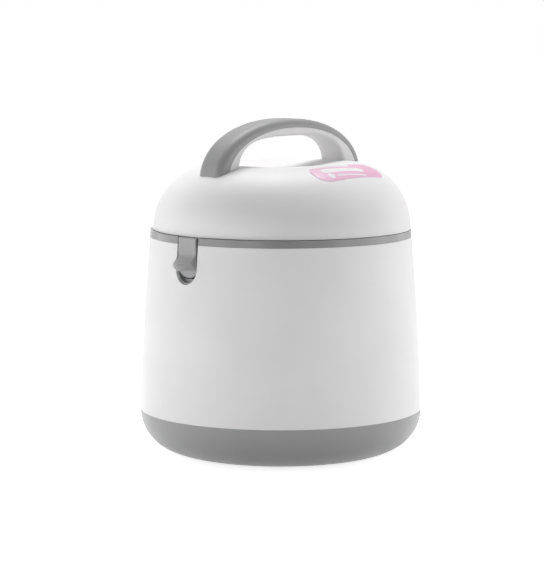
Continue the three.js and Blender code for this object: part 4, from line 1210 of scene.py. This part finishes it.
def handle():
    split_half = handle_half_length - (front_foot_depth + back_foot_depth) / 2
    split_middle = (front_foot_depth - back_foot_depth) / 2
    split_top = handle_top - cover_depth
    outer = (handle_half_length, handle_top, outer_power)
    split = (split_half, split_top, split_power, split_middle)
    cover = arch(outer, split, handle_width, cover_rounding, fine_edge)
    cut(cover, dome_tool(dome_gap))
    dress(cover, "handle_cover", matte_grey, "lid")
    lower = (split_half - dome_gap, split_top - dome_gap, split_power, split_middle)
    grip = (handle_half_length - leg_thickness, handle_top - grip_thickness, inner_power)
    core = arch(lower, grip, handle_width - 2 * core_inset, fine_edge, core_rounding)
    cut(core, dome_tool(dome_gap))
    top = handle_screw_seat + handle_screw.length + seam
    drill(core, handle_screw.radius + seam, handle_screw_places, handle_foot - overrun, top)
    # The core takes the darker copy of the white plastic: painted shade under the cover.
    dress(core, "handle_core", pale, "lid")


def dome_height(x, y, margin):
    """The height of the lid's surface, grown by a margin, over a point near its top."""
    z = lid_top
    for _ in range(dome_tries):
        up = (z - lid_bottom) / lid_height
        stretch = lid_stretch_share * up
        r = hypot(x / (1 - stretch), (y - lid_set_back - lid_lean * up) / (1 + stretch))
        if r <= lid_crest_radius:
            z = lid_top + margin - lid_dish_depth * (1 + cos(pi * r / lid_crest_radius)) / 2
        else:
            along = (r - lid_crest_radius) / (lid_radius + margin - lid_crest_radius)
            z = lid_bottom + (lid_height + margin) * (1 - along**lid_power) ** (1 / lid_power)
    return z


def lid_label():
    """Thin film on the dome with a bowed outer side: its underside from the middle out, then its top."""
    half_length = lid_radius * label_length_share / 2
    half_width = lid_radius * label_width_share / 2
    corner = lid_radius * label_corner_share
    outline = []
    for turn, (u, v) in enumerate(((1, 1), (-1, 1), (-1, -1), (1, -1))):
        middle = (u * (half_length - corner), v * (half_width - corner))
        outline += arc(*middle, corner, turn * 90, turn * 90 + 90, label_corner_steps)
        if u == v:
            length = 2 * (half_length - corner)
            end_u, end_v = outline[-1]
            outline += [(end_u - v * length * i / small_steps, end_v) for i in range(1, small_steps)]
    angle = radians(label_degrees)
    centre = Vector((lid_radius * label_x_share, lid_radius * label_y_share))
    shares = even_shares(label_rings)
    rings = [(share, label_gap) for share in shares]
    rings += [(1 - share, label_gap + label_thickness) for share in shares]
    loops = []
    for share, margin in rings:
        loop = []
        for u, v in outline:
            spine = max(min(u, half_length - half_width), half_width - half_length)
            if v < 0:
                v *= 1 + label_bow_share * (1 - label_fall_share * (u / half_length) ** 2)
            u, v = spine + (u - spine) * share, v * share
            x = centre.x + u * cos(angle) - v * sin(angle)
            y = centre.y + u * sin(angle) + v * cos(angle)
            loop.append((x, y, dome_height(x, y, margin)))
        loops.append(loop)
    dress(loft(loops, capped=False), "lid_label", label_film, "lid")


# Camera, lights and floor
camera_azimuth = radians(43.6)
camera_distance = 2408.8 * mm
camera_height = 447.08 * mm
camera_pitch = 0.12
focal_pixels = 2509.6
picture_width = 544
picture_height = 580
axis_pixel = 280.8
film = 36.0

floor_half = 6.0
floor_tone = 0.96
floor_roughness = 0.9
floor_specular = 0.1
floor_near = 0.2
floor_far = 0.9
floor_lift_near = 0.75
softbox_aim = 0.16
softbox_distance = 1.7
softbox_size = 0.9
# Softboxes low round the cooker and a strong one above its back: azimuth from the camera's, elevation, power
softboxes = [
    (-120, 8, 3.2),
    (-90, 8, 3.8),
    (-60, 8, 5.7),
    (-30, 8, 3.5),
    (30, 8, 1.4),
    (60, 8, 4.9),
    (90, 8, 6.4),
    (120, 8, 3.6),
    (-135, 35, 1.0),
    (-90, 35, 1.5),
    (90, 35, 1.2),
    (-90, 65, 1.3),
    (180, 70, 22.8),
]


def add_camera():
    towards = Vector((sin(camera_azimuth), -cos(camera_azimuth), 0))
    camera = bpy.data.cameras.new("camera")
    camera.sensor_width = film
    camera.lens = focal_pixels * film / picture_height
    camera.shift_x = (picture_width / 2 - axis_pixel) / picture_height
    eye = bpy.data.objects.new("camera", camera)
    eye.location = towards * camera_distance + Vector((0, 0, camera_height))
    eye.rotation_euler = (quarter - camera_pitch, 0, camera_azimuth)
    bpy.context.scene.collection.objects.link(eye)
    bpy.context.scene.camera = eye


def seen_rays(graph):
    """One for what the camera, a reflection or a view through something sees, and zero for light."""
    rays = graph.add("ShaderNodeLightPath").outputs
    seen = graph.maths("MAXIMUM", rays["Is Camera Ray"], rays["Is Glossy Ray"])
    return graph.maths("MAXIMUM", seen, rays["Is Transmission Ray"])


def add_floor():
    """A pale floor. Seen by the camera it is lifted towards white, more so further from the cooker."""
    corners = rectangle((-floor_half, -floor_half), (floor_half, floor_half))
    floor = new_piece([(x, y, 0) for x, y in corners], [(0, 1, 2, 3)])
    floor.name = "floor"
    graph = Graph(bpy.data.materials.new("floor"))
    lift = graph.between(graph.length(graph.place()), floor_lift_near, 1.0, floor_near, floor_far)
    graph.fill(graph.shader, {
        "Base Color": (floor_tone, floor_tone, floor_tone, 1),
        "Roughness": floor_roughness,
        "Specular IOR Level": floor_specular,
        "Emission Color": (1, 1, 1, 1),
        "Emission Strength": graph.maths("MULTIPLY", lift, seen_rays(graph)),
    })
    floor.data.materials.append(graph.owner)


def add_world():
    """White to the camera and to reflections. It lights nothing: the softboxes do."""
    world = bpy.data.worlds.new("world")
    graph = Graph(world, "Background")
    graph.fill(graph.shader, {"Color": (1, 1, 1, 1), "Strength": seen_rays(graph)})
    bpy.context.scene.world = world


def add_softbox(azimuth, elevation, power):
    """A soft lamp that looks at the middle of the cooker, its azimuth counted from the camera's."""
    light = bpy.data.lights.new("softbox", "AREA")
    light.shape = "SQUARE"
    light.size = softbox_size
    light.energy = power
    turn = camera_azimuth + radians(azimuth)
    up = radians(elevation)
    flat = Vector((sin(turn), -cos(turn), 0)) * cos(up)
    direction = flat + Vector((0, 0, sin(up)))
    lamp = bpy.data.objects.new("softbox", light)
    lamp.location = Vector((0, 0, softbox_aim)) + direction * softbox_distance
    lamp.rotation_euler = direction.to_track_quat("Z", "Y").to_euler()
    bpy.context.scene.collection.objects.link(lamp)


def stage():
    add_camera()
    add_floor()
    add_world()
    for softbox in softboxes:
        add_softbox(*softbox)
    bpy.context.scene.view_settings.view_transform = "Standard"


stage()

base_cover()
outer_shell()
rim_ring()
latch_pocket()
vessel_inner()
pin("hinge_pin", hinge_pin_radius, hinge_half - seam, hinge_out, hinge_height)
latch_pin_half = recess_half + pocket_wall + latch_pin_overhang - seam
pin("latch_pin", latch_pin_radius, latch_pin_half, -pivot_out, pivot_height)
latch_spring()
for i, (x, y) in enumerate(four_places(foot_circle, 45)):
    foot(f"foot_{i + 1}", x, y)
screws("base_screw", "body", base_screw, four_places(screw_circle, 0), base_screw_seat)

inner_pot()
pot_disc()
pot_ear("pot_ear_right", 1)
pot_ear("pot_ear_left", -1)
rivets = [(side, end * rivet_spacing / 2) for side in (-1, 1) for end in (-1, 1)]
for i, (side, y) in enumerate(rivets):
    rivet(f"pot_rivet_{i + 1}", side, y)
pot_bail()
pot_lid()
pot_lid_knob()
screw("pot_lid_screw", "body", knob_screw, 0, 0, knob_screw_seat)

lid_cover()
lid_liner()
lid_gasket()
lid_catch()
handle()
lid_label()
screws("lid_screw", "lid", liner_screw, four_places(liner_post_circle, 45), plug_bottom - seam)
screws("handle_screw", "lid", handle_screw, handle_screw_places, handle_screw_seat - seam)
screws("catch_screw", "lid", catch_screw, catch_screw_places, lid_bottom - 2 * seam - catch_plate)
latch_lever()

# Solids that stay as they are and only get a material
kept = {"vessel_outer": brushed, "vessel_support": black, "lid_foam": foam}
for node, (_, material) in kept.items():
    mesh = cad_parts[node].data
    mesh.materials.clear()
    mesh.materials.append(material)
